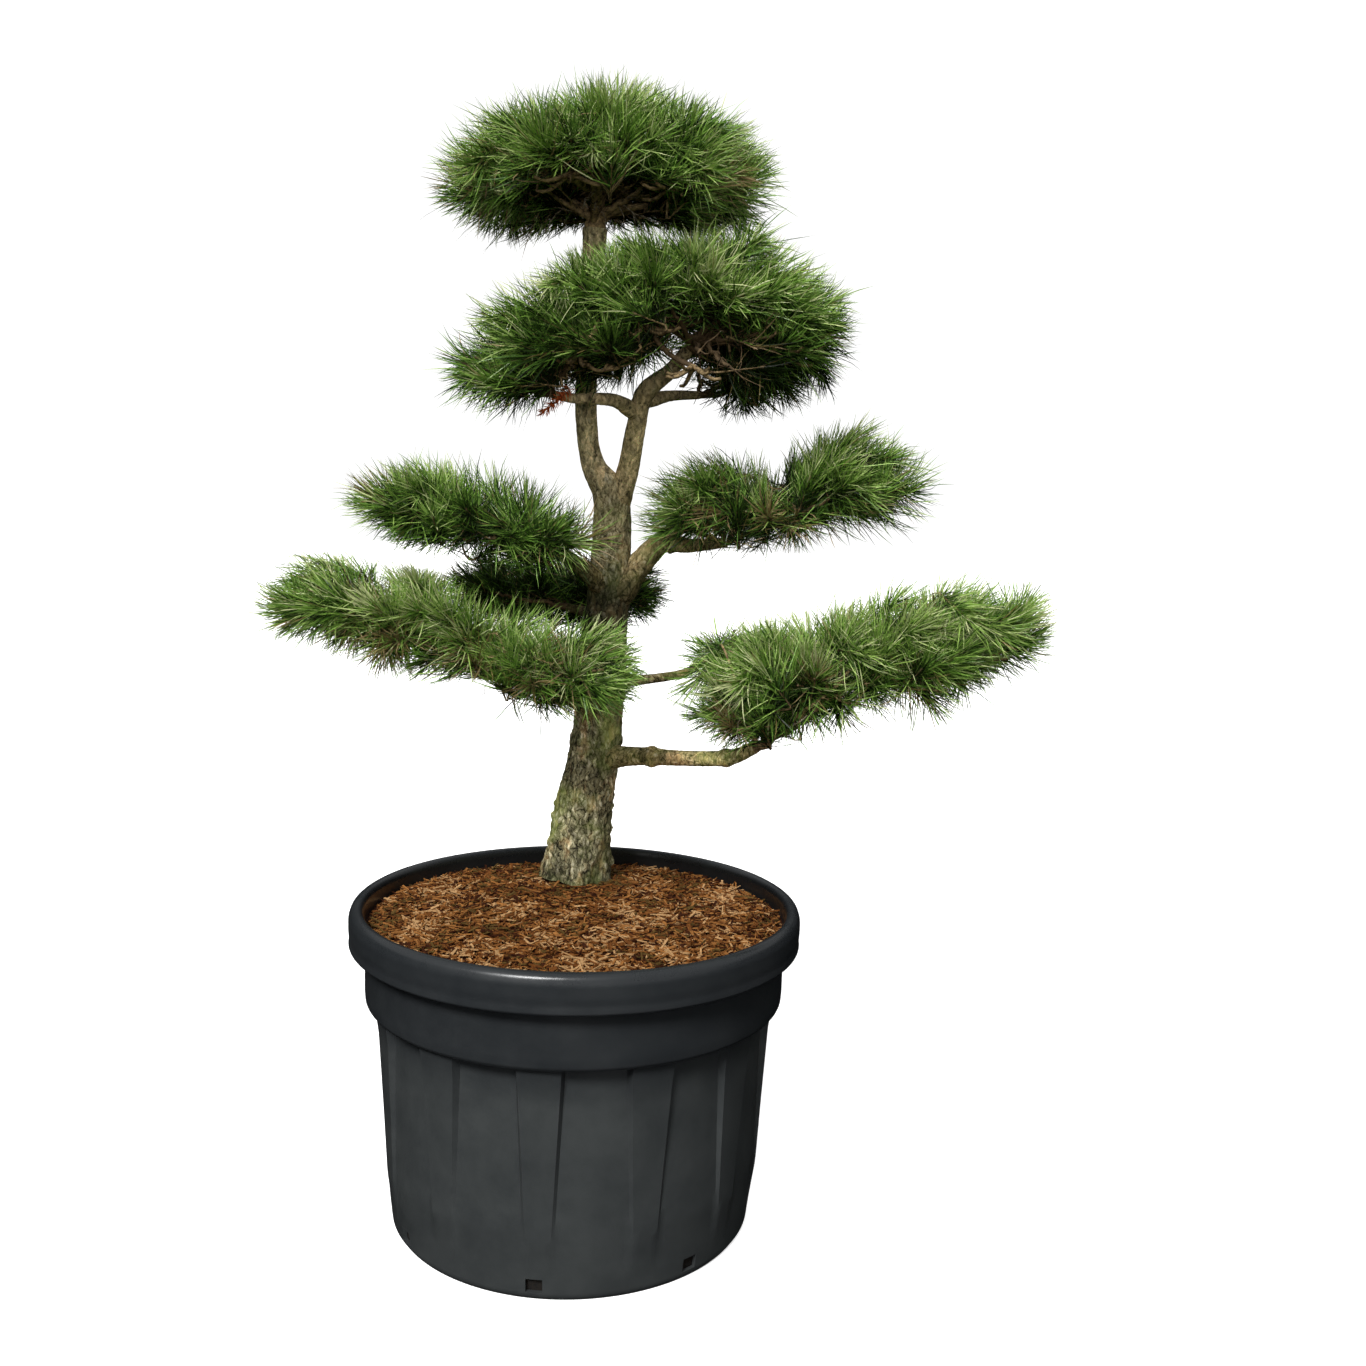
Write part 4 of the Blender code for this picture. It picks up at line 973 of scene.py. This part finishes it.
def splitPieces(name, points, tones, rng):
    # needles of a pad in pieces of less than the limit of triangles
    # partly painted shade: each needle's foot is some steps darker
    foot = np.where(tones <= lastGreen, np.maximum(tones + toneSteps["foot"], 0), tones)
    pale = (tones < lastGreen) & (rng.uniform(0, 1, len(tones)) < toneSteps["tipShare"])
    tipTones = np.where(pale, tones + toneSteps["tip"], tones)
    faceTones = np.stack([foot, foot, tones, tones, tipTones], axis=1)
    triangles = np.array([(0, 1, 3), (0, 3, 2), (2, 3, 5), (2, 5, 4), (4, 5, 6)])
    parts = math.ceil(len(points) * len(triangles) / needleLook["pieceLimit"])
    for k in range(parts):
        chosen = slice(k * len(points) // parts, (k + 1) * len(points) // parts)
        mine = points[chosen]
        faces = (triangles[None] + 7 * np.arange(len(mine))[:, None, None]).reshape(-1, 3)
        made = addPiece("needles_%s_%d" % (name[4:], k + 1), mine.reshape(-1, 3), faces,
                        needleColors, faceTones[chosen].ravel())
        standFor(made, "pine_needles", name)
    return len(points) * len(triangles)


class Wood:
    # a pad's twigs, gathered into one mesh; shoots grow from the nearest of its nodes
    def __init__(self):
        self.points, self.faces, self.kinds, self.count = [], [], [], 0
        self.nodes, self.headings = [], []

    def add(self, line, sides, kind=0, nodesFrom=None):
        rings, quads = tubeRings(line, sides)
        self.points.append(rings.reshape(-1, 3))
        self.faces.append(quads + self.count)
        self.kinds.append(np.full(len(quads), kind))
        self.count += len(self.points[-1])
        if nodesFrom is not None:
            self.nodes.append(line[nodesFrom:])
            self.headings.append(unit(np.gradient(line[:, :3], axis=0))[nodesFrom:])

    def make(self, name):
        return addPiece(name, np.vstack(self.points), np.vstack(self.faces), twigMaterials,
                        np.concatenate(self.kinds), True)


def growFans(name, wood, stem, lobes, rng):
    # bare boughs fan out from the limb's end under the needles, with dry twiglets on them
    look, own = twigLook, padLook[name]
    kind = 3 if own["darkFan"] else 0
    lead = unit(stem[1, :3] - stem[0, :3])
    for k in range(own["fan"]):
        start = stem[1 + k % 3]
        x, y, z, halfX, halfY = lobes[k % min(len(lobes), own["fanLobes"])][:5]
        angle = rng.uniform(0, math.tau)
        far = np.array([x + 0.5 * halfX * math.cos(angle), y + 0.5 * halfY * math.sin(angle),
                        z + rng.normal(0, 0.012)])
        toward = unit(far - start[:3])
        run = bendTwig(start[:3], unit(0.45 * lead + toward + rng.normal(0, 0.2, 3)), far,
                       unit(toward + (0, 0, 0.2)), (min(own["fanThick"], start[3] * 0.75), look["fanThin"]),
                       12, 0.3, rng)
        if not inOwnSpace(name, run[4:, :3], 1.1, True).all():
            continue
        wood.add(run, 7, kind, 4)
        for _ in range(look["twiglets"]):
            foot = run[rng.integers(3, 10), :3]
            turned = unit(toward + rng.normal(0, 0.8, 3) - (0, 0, 0.25))
            end = foot + turned * rng.uniform(0.04, 0.085)
            thin = bendTwig(foot, turned, end, unit(turned + rng.normal(0, 0.4, 3)),
                            (look["thin"] * 0.8, look["thin"] * 0.4), 6, 0.4, rng)
            if inOwnSpace(name, thin[2:, :3], 0.95, True).all():
                wood.add(thin, 4, kind or 2)


def growPad(name, seed):
    parent, lobes = pads[name]
    look = twigLook
    rng = np.random.default_rng(seed)
    hubs, stems = stemLines(parent, lobes)
    wood = Wood()
    for line in stems:
        wood.add(line, 8, 3 if padLook[name]["darkFan"] else 0, 2)
    for hub, (x, y, z, halfX, halfY, _, _) in zip(hubs, lobes):
        reachX, reachY = ((half - look["inset"]) * 0.95 for half in (halfX, halfY))
        for k in range(look["branchlets"]):
            angle = math.tau * (k + rng.uniform(-0.3, 0.3)) / look["branchlets"]
            far = np.array([x + reachX * math.cos(angle), y + reachY * math.sin(angle),
                            z - 0.025 + rng.normal(0, 0.010)])
            away = unit(far - hub)
            run = bendTwig(hub, unit(away - (0, 0, 0.15)), far, unit(away + (0, 0, 0.7)),
                           (look["thick"], look["thick"] * 0.6), 6)
            if inOwnSpace(name, run[:, :3], 1.0, True).all():
                wood.add(run, look["sides"], 0, 1)
    growFans(name, wood, stems[0], lobes, rng)
    shoots = growShoots(name, stems[0][0, :3], rng)
    shoots = shoots[inOwnSpace(name, shoots[:, :3], 1.0)]
    if len(massOf[name]) > 1:
        # each shoot of a shared mass grows from the pad that it is nearest to
        reaches = np.array([padReach(padLobes[other], shoots[:, :3]) for other in massOf[name]])
        shoots = shoots[np.array(massOf[name])[reaches.argmin(axis=0)] == name]
    tips, axes, kinds = shoots[:, :3], shoots[:, 3:6], shoots[:, 6].astype(int)
    nodes, headings = np.vstack(wood.nodes), np.vstack(wood.headings)
    for tip, axis in zip(tips, axes):
        foot = tip - axis * needleLook["shootLength"]
        near = norm(nodes[:, :3] - (foot - axis * 0.01), axis=1).argmin()
        start = nodes[near, :3]
        leave = unit(headings[near] * 0.6 + unit(foot - start))
        run = bendTwig(start, leave, foot, axis, (look["thin"] * 1.7, look["thin"] * 1.2), 5)
        wood.add(np.vstack([run, [*tip, look["thin"] * 0.8]]), 4)
        bud = ((-0.002, 0.0012), (0.005, 0.0028), (look["bud"], 0.0003))
        wood.add(np.array([[*(tip + axis * along), radius] for along, radius in bud]), 5, 1)
    standFor(wood.make("twigs_" + name[4:]), "young_bark", name)
    lengths = np.where(kinds == 0, 1.0, 0.93) * np.clip(rng.normal(1, 0.07, len(kinds)), 0.82, 1.15)
    lengths *= 1 + needleLook["vigour"] * shoots[:, 8]
    points, spray = needleArrays(name, tips, axes, lengths, rng)
    tones = dealTones(name, tips, kinds, shoots[:, 7], spray, rng)
    if name == "pad_shoulder_left":
        # one dead, rust-brown spray hangs under the shoulder
        tip, axis = (np.array([deadSpray[key]]) for key in ("tip", "axis"))
        dead, _ = needleArrays(name, tip, unit(axis), np.array([deadSpray["length"]]), rng, True)
        points, tones = np.vstack([points, dead]), np.concatenate([tones, np.full(len(dead), deadTone)])
    return splitPieces(name, points, tones, rng), len(tips)


total = 0
for seed, padName in enumerate(pads):
    triangles, shoots = growPad(padName, 60 + seed)
    total += triangles
    print("%s: %d shoots, %d needle triangles" % (padName, shoots, triangles))
print("needles: %d triangles" % total)


# floor, light and camera; a light is where it comes from, its power, its angle across in degrees, and
# whether it is seen in reflections: the last two are fills without glints
stageLook = {
    "floor": "#fcfcfb", "paper": "#ffffff", "glow": 0.60, "half": 30, "exposure": 0.15,
    "lights": {"keyLight": ((-0.42, -1.0, 1.0), 3.1, 18, True),
               "skyLight": ((0.05, -0.20, 1.0), 0.95, 150, True),
               "lowLight": ((0.20, -1.0, 0.0), 1.0, 36, False),
               "backLight": ((0.35, 1.0, 0.9), 0.95, 60, False)},
}
cameraLook = {"place": (0.1782, -2.4404, 1.3052), "pitchDown": 0.1348, "roll": 0.0301,
              "lens": 36 * 1402 / 1366, "sensor": 36}


def makeFloor():
    half = stageLook["half"]
    corners = np.array([(-half, -half, 0), (half, -half, 0), (half, half, 0), (-half, half, 0)])
    # pale paper, lit from below like a light table, so that hardly a shadow shows
    made, shader, _ = newMaterial("floor_pale_paper", 0.9, 1.45, 0.1)
    feed(shader, {"Base Color": stageLook["floor"], "Emission Color": stageLook["paper"],
                  "Emission Strength": stageLook["glow"]})
    floor = addPiece("floor", corners, np.array([(0, 1, 2, 3)]), [made])
    # dark ground as it is outdoors: no light or shine comes up from the white
    floor.visible_diffuse = floor.visible_glossy = False


def addLight(name, side, power, angle, glossy):
    # a broad, distant light, so that the floor is lit evenly
    data = bpy.data.lights.new(name, "SUN")
    data.energy, data.angle = power, math.radians(angle)
    light = newObject(name, data)
    light.rotation_euler = Vector(side).to_track_quat("Z", "Y").to_euler()
    light.visible_glossy = glossy


def makeCamera():
    data = bpy.data.cameras.new("camera")
    data.lens, data.sensor_width = cameraLook["lens"], cameraLook["sensor"]
    camera = newObject("camera", data)
    tilt = Matrix.Rotation(math.pi / 2 - cameraLook["pitchDown"], 4, "X")
    tilt = tilt @ Matrix.Rotation(cameraLook["roll"], 4, "Z")
    camera.matrix_world = Matrix.Translation(cameraLook["place"]) @ tilt
    bpy.context.scene.camera = camera


makeFloor()
for lightName, light in stageLook["lights"].items():
    addLight(lightName, *light)
# white paper all round, while the lamps alone light the tree
world = bpy.data.worlds.new("studio")
world.use_nodes = True
feed(world.node_tree.nodes["Background"], {"Color": stageLook["paper"]})
world.cycles_visibility.diffuse = False
world.cycles_visibility.glossy = False
bpy.context.scene.world = world
# white stays white, as in a cut-out print
bpy.context.scene.view_settings.view_transform = "Standard"
bpy.context.scene.view_settings.exposure = stageLook["exposure"]
makeCamera()
print("stage: floor, four soft lights and the camera")
